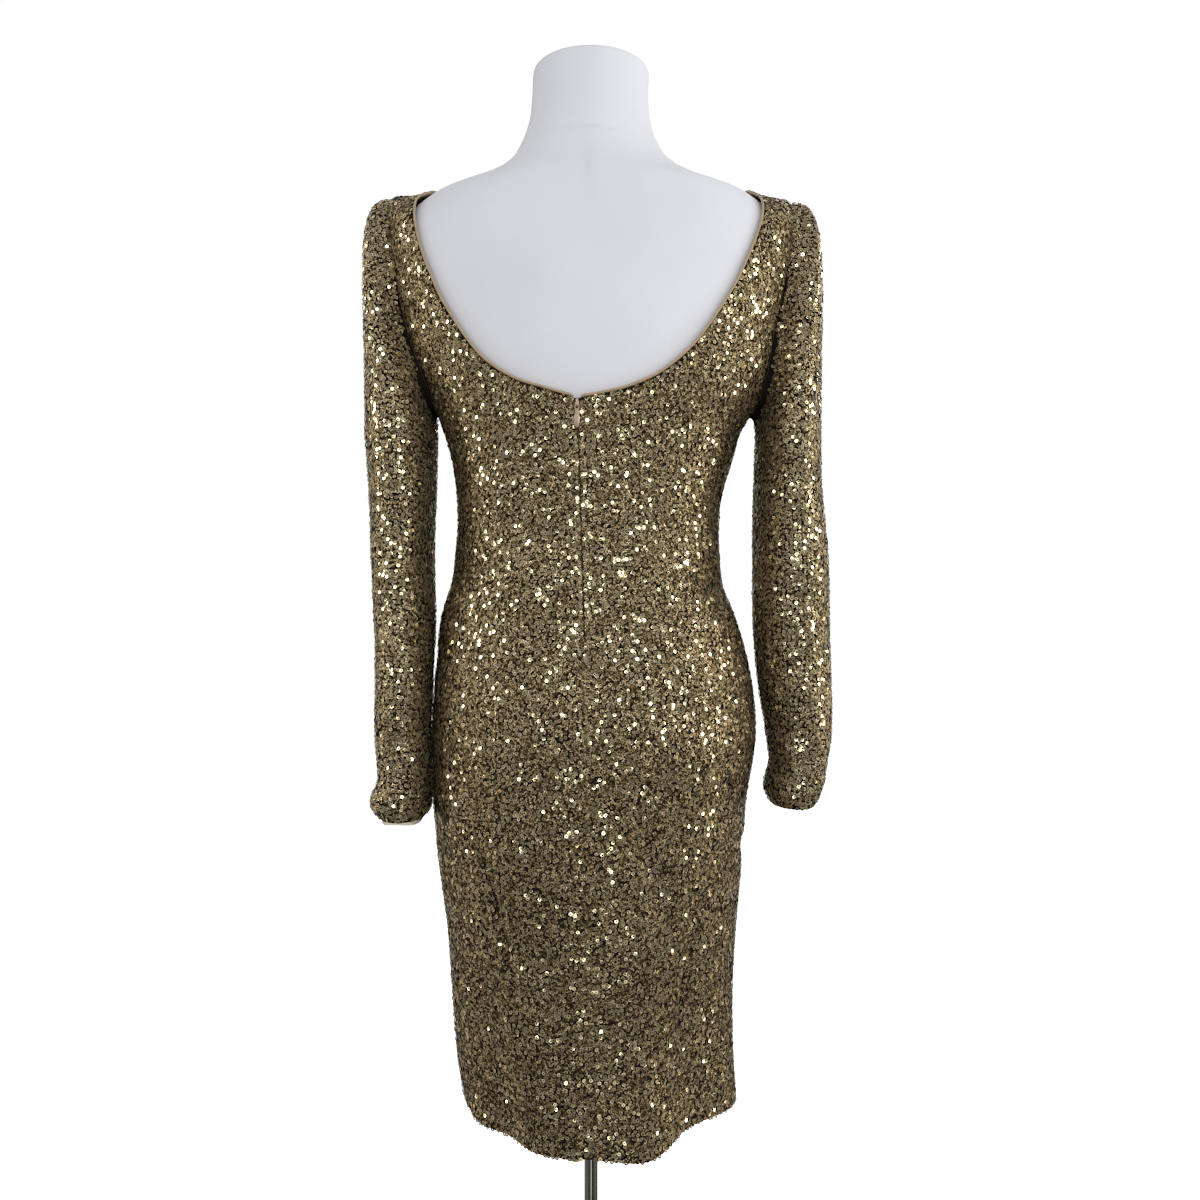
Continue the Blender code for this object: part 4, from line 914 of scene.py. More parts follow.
def scattered(name, points, faces, seed):
    """Places and normals spread over a surface, never closer together than the sequins' gap."""
    surface = add_piece(name, points, [faces], [])
    tree = bpy.data.node_groups.new(name, "GeometryNodeTree")
    tree.interface.new_socket("Geometry", in_out="INPUT", socket_type="NodeSocketGeometry")
    tree.interface.new_socket("Geometry", in_out="OUTPUT", socket_type="NodeSocketGeometry")
    start, end = tree.nodes.new("NodeGroupInput"), tree.nodes.new("NodeGroupOutput")
    throw = tree.nodes.new("GeometryNodeDistributePointsOnFaces")
    throw.distribute_method = "POISSON"
    throw.inputs["Distance Min"].default_value = SEQUIN_GAP
    throw.inputs["Density Max"].default_value = SEQUIN_DENSITY
    throw.inputs["Seed"].default_value = seed
    note = tree.nodes.new("GeometryNodeStoreNamedAttribute")
    note.data_type = "FLOAT_VECTOR"
    note.inputs["Name"].default_value = "facing"
    dots = tree.nodes.new("GeometryNodePointsToVertices")
    tree.links.new(start.outputs[0], throw.inputs["Mesh"])
    tree.links.new(throw.outputs["Points"], note.inputs["Geometry"])
    tree.links.new(throw.outputs["Normal"], note.inputs["Value"])
    tree.links.new(note.outputs["Geometry"], dots.inputs["Points"])
    tree.links.new(dots.outputs[0], end.inputs[0])
    surface.modifiers.new("scatter", "NODES").node_group = tree
    made = surface.evaluated_get(bpy.context.evaluated_depsgraph_get()).data
    place, facing = np.empty(len(made.vertices) * 3), np.empty(len(made.vertices) * 3)
    made.vertices.foreach_get("co", place)
    made.attributes["facing"].data.foreach_get("vector", facing)
    bpy.data.objects.remove(surface, do_unlink=True)
    bpy.data.node_groups.remove(tree)
    return place.reshape(-1, 3), facing.reshape(-1, 3)


def far_from(places, line, distance):
    """Which places are further than distance from every point of a line."""
    lengths = np.linalg.norm(np.diff(line, axis=0), axis=1)
    at = np.append(0, np.cumsum(lengths))
    fine = np.arange(0, at[-1], LINE_STEP)
    dots = np.stack([np.interp(fine, at, line[:, k]) for k in range(3)], -1)
    nearest = np.full(len(places), np.inf)
    for part in np.array_split(dots, max(1, len(dots) // LINES_AT_ONCE)):
        apart = np.linalg.norm(places[:, None] - part[None], axis=-1).min(axis=1)
        nearest = np.minimum(nearest, apart)
    return nearest > distance


def clear_of_hole(places, hole):
    """Which places leave the armhole's bare strips free, whose dark net is painted shadow; hole is a line
    along its edge.
    """
    clear = np.full(len(places), True)
    for top, width in ARMHOLE_PAINTED_SHADOW:
        clear &= far_from(places, hole[hole[:, 2] < top], width)
    return clear


def drawn_aside(places, line, distance, side):
    """The places, with those nearer than distance to a line up the cloth moved off it, to one side."""
    off = side * (places[:, 0] - np.interp(places[:, 2], line[:, 2], line[:, 0]))
    beside = (places[:, 2] > ZIP_END) & (places[:, 2] < line[-1, 2])
    places[:, 0] += side * np.clip(distance - off, 0, None) * beside
    return places


def repeated(shape, faces, middle, axes):
    """Points and faces of one small shape set down at many middles, each along its own three axes."""
    points = middle[:, None] + sum(shape[None, :, k : k + 1] * axes[k][:, None] for k in range(3))
    every = faces[None] + (np.arange(len(middle)) * len(shape))[:, None, None]
    return points.reshape(-1, 3), every.reshape(-1, faces.shape[1])


def add_sequins(name, place, facing, seed, more_on_top_and_painted_paler=1.0):
    """One joined mesh of sequins: a rim of six points round a hole of three, set at each place.

    A sequin's own axes are the cloth's normal turned by a random tilt and two directions at right angles
    to it; its rim is a circle in them, and its hole a smaller one sunk by the cup. With the last argument
    over 1, more of them lie on top and the others are painted paler: painted light.
    """
    random = np.random.default_rng(seed)
    count = len(place)
    on_top = random.random(count) < TOP_SHARE * more_on_top_and_painted_paler
    lean = random.normal(size=(count, 3)) * np.radians(np.where(on_top, TOP_TILT, TILT))[:, None]
    lean -= facing * (lean * facing).sum(axis=1, keepdims=True)
    axis = unit(facing + lean)
    spin = random.normal(size=(count, 3))
    first = unit(spin - axis * (spin * axis).sum(axis=1, keepdims=True))
    second = np.cross(axis, first)
    rim_turn = np.arange(RIM_POINTS) * 2 * np.pi / RIM_POINTS
    hole_turn = (np.arange(HOLE_POINTS) + 0.5) * 2 * np.pi / HOLE_POINTS
    circle = np.concatenate([rim_turn, hole_turn])
    circles = [(SEQUIN_RADIUS, 0), (SEQUIN_HOLE, -SEQUIN_CUP)]
    radius, sunk = np.repeat(circles, (RIM_POINTS, HOLE_POINTS), 0).T
    shape = np.stack([radius * np.cos(circle), radius * np.sin(circle), sunk], -1)
    ring = []
    for k in range(HOLE_POINTS):
        a, b, c = 2 * k, 2 * k + 1, (2 * k + 2) % RIM_POINTS
        hole, after = RIM_POINTS + k, RIM_POINTS + (k + 1) % HOLE_POINTS
        ring += [(a, b, hole), (b, c, hole), (c, after, hole)]
    tipped = np.sqrt(np.clip(1 - (axis * facing).sum(axis=1) ** 2, 0, 1))
    lift = SEQUIN_LIFT + SEQUIN_STACK * random.random(count) + SEQUIN_RADIUS * SEQUIN_TIPPED_LIFT * tipped
    lift += on_top * TOP_LIFT
    middle = place + facing * lift[:, None]
    points, faces = repeated(shape, np.array(ring), middle, (first, second, axis))
    piece = add_piece(name, points, [faces], [gilt], smooth=False)
    # painted shadow: one edge of each lower sequin is painted darker where its neighbours lie over it
    facet = points.reshape(count, -1, 3)[:, ring].mean(axis=2) - middle[:, None]
    reach = (facet * first[:, None]).sum(axis=-1) / SEQUIN_RADIUS
    painted_overlap_shadow = ramp(reach + random.normal(size=(count, 1)) * OVERLAP_SHADOW_WAVER, 0, OVERLAP_SHADOW_WIDTH) * ~on_top[:, None]
    # on the sleeves the tones are raised: painted light that makes them paler
    darkest = np.where(on_top, TOP_TONE, TUCKED_TONE * more_on_top_and_painted_paler)
    paler = np.where(on_top, TOP_SPREAD, TUCKED_SPREAD * more_on_top_and_painted_paler) * random.random(count)
    shade = (darkest + paler)[:, None] * (1 - OVERLAP_PAINTED_SHADOW * painted_overlap_shadow)
    # stored per face: each sequin's own colour, with the painted shadow and, on the sleeves, painted light
    for label, values in (("tone", shade), ("on_top", on_top[:, None] + 0 * shade)):
        layer = piece.data.attributes.new(label, "FLOAT", "FACE")
        layer.data.foreach_set("value", values.ravel())
    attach(piece, DRESS)
    return piece


def gilt_finish():
    """Gold film with fine flecks: each sequin has its own colour, from bronze over olive gold to champagne.
    Painted shadow darkens the edge that a neighbour covers, and painted light makes the sleeves' sequins
    paler.
    """
    made, tree, shader = new_finish("gold_sequins", Metallic=0.78)
    tone, on_top = (
        add_node(tree, "ShaderNodeAttribute", {"attribute_name": label}, output=2)
        for label in ("tone", "on_top")
    )
    stops = (
        (0.0, (0.05, 0.034, 0.012)),
        (0.3, (0.26, 0.192, 0.094)),
        (0.7, (0.49, 0.378, 0.198)),
        (1.0, (0.72, 0.612, 0.400)),
    )
    place = add_node(tree, "ShaderNodeTexCoord", output=3)
    flecks = add_node(tree, "ShaderNodeTexNoise", sockets={"Vector": place, "Scale": FLECKS, "Detail": 1.0})
    flecked = tone * (1 + FLECK_DEPTH * (1 - FLECK_CALM * on_top) * (flecks - 0.5))
    colour = add_node(tree, "ShaderNodeValToRGB", {"stops": stops}, {0: flecked})
    tree.links.new(colour.socket, shader.inputs["Base Color"])
    tree.links.new((DULL + on_top * (BRIGHT - DULL)).socket, shader.inputs["Roughness"])
    return made


gilt = gilt_finish()
for seed, side in enumerate(("left", "right")):
    outer, inner, cloth = back_sheets[side]
    place, facing = scattered("scatter", outer, panel_faces, seed)
    centre, hole = (outer[:, 0], outer[:, -1]) if side == "right" else (outer[:, -1], outer[:, 0])
    keep = far_from(place, centre[underarm_row:], NECK_MARGIN) & clear_of_hole(place, hole[underarm_row:])
    place = drawn_aside(place, centre[: underarm_row + 1], ZIP_MARGIN, -1 if side == "right" else 1)
    sewn = add_sequins(f"back_{side}_sequins", place[keep], facing[keep], seed)

    outer = halves[1 if side == "left" else 0][0]
    place, facing = scattered("scatter", outer, panel_faces, seed + FRONT_SEED)
    centre, hole = (outer[:, -1], outer[:, 0]) if side == "right" else (outer[:, 0], outer[:, -1])
    keep = far_from(place, centre[neck_row:], NECK_MARGIN) & clear_of_hole(place, hole[underarm_row:])
    sewn = add_sequins(f"front_{side}_sequins", place[keep], facing[keep], seed + FRONT_SEED)

    outer, cloth = sleeve_sheets[side][0], sleeve_sheets[side][-1]
    faces = grid_faces(*outer.shape[:2], closed=True)
    faces = faces if side == "right" else faces[:, ::-1]
    place, facing = scattered("scatter", outer, faces, seed + SLEEVE_SEED)
    cuff = np.vstack([outer[-1], outer[-1, :1]])
    keep = clear_of_hole(place, outer[0]) & far_from(place, cuff, CUFF_MARGIN)
    kept = (place[keep], facing[keep])
    sewn = add_sequins(f"sleeve_{side}_sequins", *kept, seed + SLEEVE_SEED, SLEEVE_MORE_ON_TOP_AND_PAINTED_PALER)

# ---------------------------------------------------------------- neck binding
# A narrow piping of folded nude satin round the neck edge, open at the centre back. Brown lockstitches on
# the net beside it hold it down.

PIPING_RADIUS, PIPING_LIFT, PIPING_SIDES = 0.0012, 0.0003, 12
PIPING_OVERHANG, PIPING_OVERLAP = 0.001, 0.0003  # past the zip at each end, and over the net's edge
STITCH_LENGTH, STITCH_RADIUS, STITCH_PITCH, STITCH_SIDES = 0.0014, 0.00024, 0.0021, 4
STITCH_INTO, STITCH_PROUD = 0.0006, 0.5  # from the neck edge, and above the net for the stitch's radius
STITCH_RINGS = np.array(
    # share of the length, share of the radius
    [
        (-0.50, 0.30),
        (-0.40, 0.80),
        (-0.20, 1.00),
        (0.20, 1.00),
        (0.40, 0.80),
        (0.50, 0.30),
    ]
)


def body_faces(rings, columns):
    """Faces of a closed body: a grid of rings, with a fan to the middle of each end."""
    here = np.arange(columns)
    after = np.roll(here, -1)
    last = (rings - 1) * columns
    low = np.stack([after, here, np.full(columns, rings * columns)], -1)
    high = np.stack([here + last, after + last, np.full(columns, rings * columns + 1)], -1)
    return [grid_faces(rings, columns, closed=True), np.vstack([low, high])]


def body_points(rings):
    """The points of a closed body's rings, and the middles of its two ends."""
    return np.vstack([rings.reshape(-1, 3), rings[0].mean(axis=0), rings[-1].mean(axis=0)])


def tube_rings(path, up, radius, sides):
    """Rings of a round tube along a path; up points away from it at each of its points."""
    along = unit(np.gradient(path, axis=0))
    side = unit(np.cross(up, along))
    up = np.cross(along, side)
    turn = (np.arange(sides) * 2 * np.pi / sides)[None, :, None]
    return path[:, None] + radius * (np.cos(turn) * side[:, None] + np.sin(turn) * up[:, None])


def satin_finish(name, light, dark):
    """Satin: a close twill whose floats run along the strip, with a soft sheen."""
    made, tree, shader = new_finish(name, Roughness=0.42, Sheen_Weight=0.25, Specular_IOR_Level=0.6)
    place = add_node(tree, "ShaderNodeTexCoord", output=3)
    twill = add_node(
        tree,
        "ShaderNodeTexWave",
        {"bands_direction": "DIAGONAL"},
        {"Vector": place, "Scale": 700.0, "Distortion": 2.0},
        output=1,
    )
    patches = add_node(tree, "ShaderNodeTexNoise", sockets={"Vector": place, "Scale": 90.0, "Detail": 3.0})
    colour = mixed(tree, twill * 0.3 + patches * 0.7, dark, light)
    tree.links.new(colour.socket, shader.inputs["Base Color"])
    bump = add_node(tree, "ShaderNodeBump", sockets={"Strength": 0.25, "Distance": 0.0001, "Height": twill})
    tree.links.new(bump.socket, shader.inputs["Normal"])
    return made


satin = satin_finish("beige_satin", linear(190, 166, 132), linear(142, 118, 84))
thread = satin_finish("brown_thread", linear(92, 70, 44), linear(60, 43, 24))

# the neck edge in one run: the left back, the left front, the right front, the right back
left_outer, left_inner, _ = back_sheets["left"]
right_outer, right_inner, _ = back_sheets["right"]
(right_front, right_front_inner, _), (left_front, left_front_inner, _) = halves
runs = (
    (left_outer[underarm_row:-1], left_inner[underarm_row:-1], -1, -2),
    (left_front[:neck_row:-1], left_front_inner[:neck_row:-1], 0, 1),
    (right_front[neck_row:], right_front_inner[neck_row:], -1, -2),
    (right_outer[-2 : underarm_row - 1 : -1], right_inner[-2 : underarm_row - 1 : -1], 0, 1),
)
edge = np.vstack([outer[:, at] for outer, inner, at, beside in runs])
lower = np.vstack([inner[:, at] for outer, inner, at, beside in runs])
cloth_side = np.vstack([outer[:, beside] for outer, inner, at, beside in runs])
out = unit(edge - lower)
along = unit(np.gradient(edge, axis=0))
away = np.cross(along, out)
away = unit(away * np.sign(((edge - cloth_side) * away).sum(axis=1, keepdims=True)))
path = lower + (PIPING_RADIUS + PIPING_LIFT) * out + (PIPING_RADIUS - PIPING_OVERLAP) * away
path[0] += PIPING_OVERHANG * along[0]
path[-1] -= PIPING_OVERHANG * along[-1]
rings = tube_rings(path, out, PIPING_RADIUS, PIPING_SIDES)
piping = add_piece("neck_piping", body_points(rings), body_faces(*rings.shape[:2]), [satin])
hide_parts("neck_binding")
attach(piping, DRESS)

travelled = np.append(0, np.cumsum(np.linalg.norm(np.diff(edge, axis=0), axis=1)))
stitch_at = np.arange(STITCH_PITCH, travelled[-1], STITCH_PITCH)
line = edge - STITCH_INTO * away + STITCH_RADIUS * STITCH_PROUD * out
middle, stitch_along, stitch_out = (
    np.stack([np.interp(stitch_at, travelled, values[:, k]) for k in range(3)], -1)
    for values in (line, along, out)
)
turn = np.arange(STITCH_SIDES) * 2 * np.pi / STITCH_SIDES
girth = STITCH_RADIUS * STITCH_RINGS[:, 1:]
stitch = np.stack(
    [girth * np.cos(turn), girth * np.sin(turn), STITCH_LENGTH * STITCH_RINGS[:, :1] + 0 * turn], -1
)
ends = (unit(np.cross(stitch_out, stitch_along)), stitch_out, stitch_along)
shape = body_points(stitch)
parts = [repeated(shape, part, middle, ends) for part in body_faces(*stitch.shape[:2])]
stitches = add_piece("neck_stitches", parts[0][0], [part[1] for part in parts], [thread])
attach(stitches, DRESS)

# ---------------------------------------------------------------- linings that show
# The nude lining's ivory edge hangs just below the left cuff, and a short stretch of the beige one dips
# below the hem beside the centre back. Both are turned once and lie inside the net.

LINING, LINING_INSET = 0.0010, 0.0006
CUFF_LINING_SHOWS, CUFF_LINING_WAVE, CUFF_LINING_RISE = 0.0042, 0.0012, 0.028
CUFF_LINING_WAVES, CUFF_LINING_STEPS = 3, 5
HEM_LINING_SHOWS, HEM_LINING_RISE = 0.0036, 0.018
HEM_LINING_FROM, HEM_LINING_TO, HEM_LINING_STEPS = 0.006, 0.019, 25
HEM_LINING_ROUND = 0.5  # the power that makes its lower edge a round tongue


def strip_points(angle, height, inset, thickness):
    """Outer and inner points of a strip inside a panel, on a grid of the panel's angles and heights."""
    normal = normals_of(inside_point, angle, height)
    outer = inside_point(angle, height) - inset * normal
    return outer, outer - thickness * normal


def flat_uv(points):
    """The cloth's own coordinates in metres: lengths along the grid's rows and up its columns."""
    rows_by = np.linalg.norm(np.diff(points, axis=1, prepend=points[:, :1]), axis=-1)
    up_by = np.linalg.norm(np.diff(points, axis=0, prepend=points[:1]), axis=-1)
    return np.stack([np.cumsum(rows_by, axis=1), np.cumsum(up_by, axis=0)], -1)


ivory = lining_finish("ivory_lining", linear(244, 236, 220), linear(222, 210, 188))
beige = lining_finish("beige_lining", linear(192, 168, 128), linear(164, 140, 104))

outer, inner, normal, _ = sleeve_sheets["left"]
shown = np.flatnonzero(outer[:, :, 2].mean(axis=1) < outer[-1, :, 2].mean() + CUFF_LINING_RISE)
inner, normal = inner[shown[0] :], normal[shown[0] :]
turn = np.linspace(0, 2 * np.pi, outer.shape[1], endpoint=False)
shows = CUFF_LINING_SHOWS + CUFF_LINING_WAVE * np.sin(CUFF_LINING_WAVES * turn)
down = np.linspace(0, 1, CUFF_LINING_STEPS)[1:, None, None]
drop = down * shows[None, :, None] * np.array([0, 0, 1])
normal = np.concatenate([normal, np.repeat(normal[-1:], len(drop), axis=0)])
band = np.concatenate([inner, inner[-1:] - drop]) - LINING_INSET * normal
cuff_lining = add_shell(
    "cuff_lining_cloth",
    band.reshape(-1, 3),
    (band - LINING * normal).reshape(-1, 3),
    grid_faces(*band.shape[:2], closed=True)[:, ::-1],
    flat_uv(band).reshape(-1, 2),
    [ivory, ivory],
)
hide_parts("cuff_lining")
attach(cuff_lining, DRESS)

across = np.linspace(HEM_LINING_TO, HEM_LINING_FROM, HEM_LINING_STEPS)
dips = np.sin(np.pi * np.linspace(0, 1, HEM_LINING_STEPS)) ** HEM_LINING_ROUND
share = np.linspace(0, 1, HEM_LINING_STEPS)[:, None]
height = HEM - HEM_LINING_SHOWS * dips * (1 - share) + HEM_LINING_RISE * share
outer, inner = strip_points(angle_across(across, height), height, LINING_INSET, LINING)
hem_lining = add_shell(
    "hem_lining_cloth",
    outer.reshape(-1, 3),
    inner.reshape(-1, 3),
    grid_faces(*outer.shape[:2]),
    flat_uv(outer).reshape(-1, 2),
    [beige, beige],
)
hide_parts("hem_lining")
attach(hem_lining, DRESS)

# ---------------------------------------------------------------- zip
# A concealed coil zip: two woven tapes with nylon coils behind the centre-back seam, closed. The die-cast
# slider at the top carries a bail, and the teardrop pull hangs from it.

CHAIN_WIDTH, CHAIN_INSET, CHAIN_TOP = 0.0070, 0.0006, 0.0004
TAPE, TAPE_ROWS, TAPE_COLUMNS = 0.0004, 160, 9
COIL_RADIUS, COIL_REACH, COIL_APART = 0.00022, 0.0012, 0.85  # the last, off the seam, for the reach
COIL_PITCH, COIL_STEPS, COIL_SIDES, COIL_HEIGHT = 0.0011, 6, 4, 0.00026
SLIDER_HEIGHT, SLIDER_OFF = 1.2055, 0.0006
SLIDER_WIDTH, SLIDER_LENGTH, SLIDER_CORNER = 0.0027, 0.0074, 0.0013
SLIDER_FLARE = 0.35  # wider at its foot, and narrower at its neck
SLIDER_THICKNESS = 0.0018
SLIDER_LAYERS = (
    # inset of the outline, height above the cloth
    (0.0003, 0.0000),
    (0.0000, 0.0003),
    (0.0000, 0.0010),
    (0.0002, 0.0014),
    (0.0006, 0.0017),
    (0.0010, 0.0018),
)
BAIL_DROP, BAIL_BAR, BAIL_LENGTH, BAIL_OPENING = 0.0022, 0.0009, 0.0058, 0.0020
BAIL_CORNER, BAIL_STEPS, BAIL_SIDES = 1.2, 7, 10  # the first for the bar's thickness
PULL_THICKNESS, PULL_EDGE, PULL_STEPS = 0.0009, 0.00025, 60
PULL_EYE_WIDTH, PULL_EYE_LENGTH, PULL_EYE_CORNER = 0.0021, 0.0036, 0.0008
PULL_OUTLINE = np.array(
    # half_width, distance below the hinge
    [
        (0.0013, -0.00045),
        (0.0019, 0.0007),
        (0.0021, 0.0022),
        (0.0019, 0.0042),
        (0.0016, 0.0060),
        (0.0021, 0.0090),
        (0.0026, 0.0120),
        (0.0026, 0.0145),
        (0.0019, 0.0175),
        (0.0012, 0.0198),
        (0.0006, 0.0208),
    ]
)


def rose_finish():
    """Die-cast metal with a thin rose-gold plating: fine speckle, and small scratches down the pull."""
    made, tree, shader = new_finish("rose_metal", Metallic=0.55, Coat_Weight=0.4, Coat_Roughness=0.15)
    place = add_node(tree, "ShaderNodeTexCoord", output=3)
    speckle = add_node(tree, "ShaderNodeTexNoise", sockets={"Vector": place, "Scale": 2400.0})
    long_way = add_node(
        tree, "ShaderNodeMapping", sockets={"Vector": place, "Scale": (3000.0, 3000.0, 260.0)}
    )
    scratches = add_node(tree, "ShaderNodeTexNoise", sockets={"Vector": long_way, "Scale": 1.0})
    colour = mixed(tree, speckle, linear(168, 142, 122), linear(200, 178, 160))
    tree.links.new(colour.socket, shader.inputs["Base Color"])
    tree.links.new((0.24 + scratches * 0.22).socket, shader.inputs["Roughness"])
    bump = add_node(
        tree, "ShaderNodeBump", sockets={"Strength": 0.15, "Distance": 0.00005, "Height": scratches}
    )
    tree.links.new(bump.socket, shader.inputs["Normal"])
    return made


def tape_finish(name, light, dark):
    """Woven zip tape: a fine chevron of threads in two close shades."""
    made, tree, shader = new_finish(name, Roughness=0.7, Sheen_Weight=0.2)
    place = add_node(tree, "ShaderNodeTexCoord", output=3)
    chevron = add_node(
        tree,
        "ShaderNodeTexWave",
        {"bands_direction": "DIAGONAL", "wave_profile": "TRI"},
        {"Vector": place, "Scale": 500.0},
        output=1,
    )
    tree.links.new(mixed(tree, chevron, dark, light).socket, shader.inputs["Base Color"])
    bump = add_node(tree, "ShaderNodeBump", sockets={"Strength": 0.3, "Distance": 0.0001, "Height": chevron})
    tree.links.new(bump.socket, shader.inputs["Normal"])
    return made


def rounded_box(width, length, radius, steps=6):
    """A rectangle with round corners, anticlockwise."""
    quarter = np.repeat(np.arange(4), steps + 1)
    turn = (np.tile(np.linspace(0, 1, steps + 1), 4) + quarter) * np.pi / 2
    middle = np.array([[1, 1], [-1, 1], [-1, -1], [1, -1]])[quarter]
    middle = middle * (np.array([width, length]) / 2 - radius)
    return middle + radius * np.column_stack([np.cos(turn), np.sin(turn)])


def ring_faces(rows, columns):
    """Quads of a grid of points that closes on itself both round and along."""
    number = np.arange(rows * columns).reshape(rows, columns)
    beside, onward = np.roll(number, -1, axis=1), np.roll(number, -1, axis=0)
    return np.stack([number, beside, np.roll(beside, -1, axis=0), onward], -1).reshape(-1, 4)


def radius_at(outline, turn):
    """How far a closed outline reaches from the origin in each direction."""
    direction = np.arctan2(outline[:, 1], outline[:, 0])
    order = np.argsort(direction)
    reach = np.linalg.norm(outline, axis=1)
    return np.interp(turn, direction[order], reach[order], period=2 * np.pi)


rose = rose_finish()
# the tape's own brown deepened to near black, painted shadow where it shows in the open V by the slider
tape_brown_and_painted_shadow = tape_finish("zip_tape", linear(20, 14, 8), linear(11, 7, 4))
coil_nylon = tape_finish("zip_coil", linear(150, 124, 90), linear(112, 88, 58))

height = np.linspace(ZIP_END, NECK_BACK - CHAIN_TOP, TAPE_ROWS)[:, None]
offset = np.linspace(-0.5, 0.5, TAPE_COLUMNS) * CHAIN_WIDTH
angle = angle_across(through(CENTRE_BACK, 1, height) - offset, height + 0 * offset)
outer, inner = strip_points(angle, height + 0 * offset, CHAIN_INSET + 2 * COIL_RADIUS + COIL_HEIGHT, TAPE)
tape = add_shell(
    "zip_tape",
    outer.reshape(-1, 3),
    inner.reshape(-1, 3),
    grid_faces(*outer.shape[:2]),
    flat_uv(outer).reshape(-1, 2),
    [tape_brown_and_painted_shadow, tape_brown_and_painted_shadow],
)
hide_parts("zip_chain")
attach(tape, DRESS)

# each coil is one thread wound round and round, flattened, its loops half a pitch from the other's
turns = (SLIDER_HEIGHT - ZIP_END) / COIL_PITCH
wound = np.arange(0, turns, 1 / COIL_STEPS)
height = ZIP_END + wound * COIL_PITCH
angle = angle_across(through(CENTRE_BACK, 1, height), height)
chain_out = normals_of(inside_point, angle, height)
chain_up = unit(np.gradient(inside_point(angle, height), axis=0))
chain_side = np.cross(chain_up, chain_out)
chain_middle = inside_point(angle, height) - (CHAIN_INSET + COIL_RADIUS + COIL_HEIGHT / 2) * chain_out
for side, sign in (("left", 1), ("right", -1)):
    turn = (2 * np.pi * wound + (np.pi if sign < 0 else 0))[:, None]
    path = (
        chain_middle
        + chain_side * sign * COIL_REACH * (COIL_APART + np.cos(turn))
        + chain_out * COIL_HEIGHT / 2 * np.sin(turn)
    )
    rings = tube_rings(path, chain_up, COIL_RADIUS, COIL_SIDES)
    coil = add_piece(f"zip_coil_{side}", body_points(rings), body_faces(*rings.shape[:2]), [coil_nylon])
    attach(coil, DRESS)

angle = angle_across(through(CENTRE_BACK, 1, SLIDER_HEIGHT), SLIDER_HEIGHT)
slider_out = normals_of(inside_point, angle, SLIDER_HEIGHT)
seat = inside_point(angle, SLIDER_HEIGHT) + (CLOTH + SLIDER_OFF) * slider_out
slider_side = np.array([-1.0, 0, 0])
slider_side = unit(slider_side - slider_out * (slider_side @ slider_out))
slider_up = np.cross(slider_out, slider_side)
rings = []
for inset, level in SLIDER_LAYERS:
    flat = rounded_box(SLIDER_WIDTH - 2 * inset, SLIDER_LENGTH - 2 * inset, SLIDER_CORNER - inset)
    flat[:, 0] *= 1 - SLIDER_FLARE * flat[:, 1] / (SLIDER_LENGTH / 2)
    rings.append(seat + flat[:, :1] * slider_side + flat[:, 1:] * slider_up + level * slider_out)
rings = np.array(rings)
slider = add_piece("zip_slider_body", body_points(rings), body_faces(*rings.shape[:2]), [rose])
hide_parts("zip_slider")

# the bail is a bent bar: up out of the slider, over and down into it again
low = seat - BAIL_DROP * slider_up
half, rise = (BAIL_LENGTH - BAIL_BAR) / 2, BAIL_OPENING + BAIL_BAR / 2
bend = np.linspace(0, np.pi / 2, BAIL_STEPS)
corner = BAIL_BAR * BAIL_CORNER
leg = np.array([[half, -BAIL_BAR / 2]])
over = np.array([half, rise]) - corner * (1 - np.column_stack([np.cos(bend), np.sin(bend)]))
arch = np.vstack([leg, over])
arch = np.vstack([arch, arch[::-1] * np.array([-1, 1])])
path = low + arch[:, :1] * slider_up + (SLIDER_THICKNESS + arch[:, 1:]) * slider_out
rings = tube_rings(path, slider_side + 0 * path, BAIL_BAR / 2, BAIL_SIDES)
bail = add_piece("zip_bail", body_points(rings), body_faces(*rings.shape[:2]), [rose])
for piece in (slider, bail):
    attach(piece, DRESS)

# the pull is one plate: its outline and its eye, both seen from the eye's middle, with rounded edges
hinge = low + (SLIDER_THICKNESS + BAIL_OPENING / 2) * slider_out
eye_drop = PULL_THICKNESS / 2 + PULL_EYE_LENGTH / 2
steps = np.linspace(0, len(PULL_OUTLINE) - 1, PULL_STEPS)
rows_of = np.column_stack([np.arange(len(PULL_OUTLINE)), PULL_OUTLINE])
half_width, down = through(rows_of, 1, steps), through(rows_of, 2, steps) - eye_drop
outline = np.vstack([np.column_stack([half_width, down]), np.column_stack([-half_width, down])[::-1]])
turn = np.arctan2(outline[:, 1], outline[:, 0])
eye_reach = radius_at(rounded_box(PULL_EYE_WIDTH, PULL_EYE_LENGTH, PULL_EYE_CORNER), turn)
outer_reach = np.linalg.norm(outline, axis=1)
thick = PULL_THICKNESS / 2
loop = (
    # reach from the eye's middle, height above the plate's middle
    (outer_reach - PULL_EDGE, -thick),
    (outer_reach, PULL_EDGE - thick),
    (outer_reach, thick - PULL_EDGE),
    (outer_reach - PULL_EDGE, thick),
    (eye_reach + PULL_EDGE, thick),
    (eye_reach, thick - PULL_EDGE),
    (eye_reach, PULL_EDGE - thick),
    (eye_reach + PULL_EDGE, -thick),
)
points = np.stack(
    [
        np.stack([-reach * np.cos(turn), level + 0 * turn, -eye_drop - reach * np.sin(turn)], -1)
        for reach, level in loop
    ],
    1,
)
pull = add_piece("zip_pull_tab", points + hinge, [ring_faces(*points.shape[:2])], [rose])
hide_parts("zip_pull")
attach(pull, PULL)

# ---------------------------------------------------------------- dress form
# A limbless form of hard shell under stretched white jersey, from the hips to the top of the neck. The
# jersey is pulled smooth, and creases a little where the neck begins.

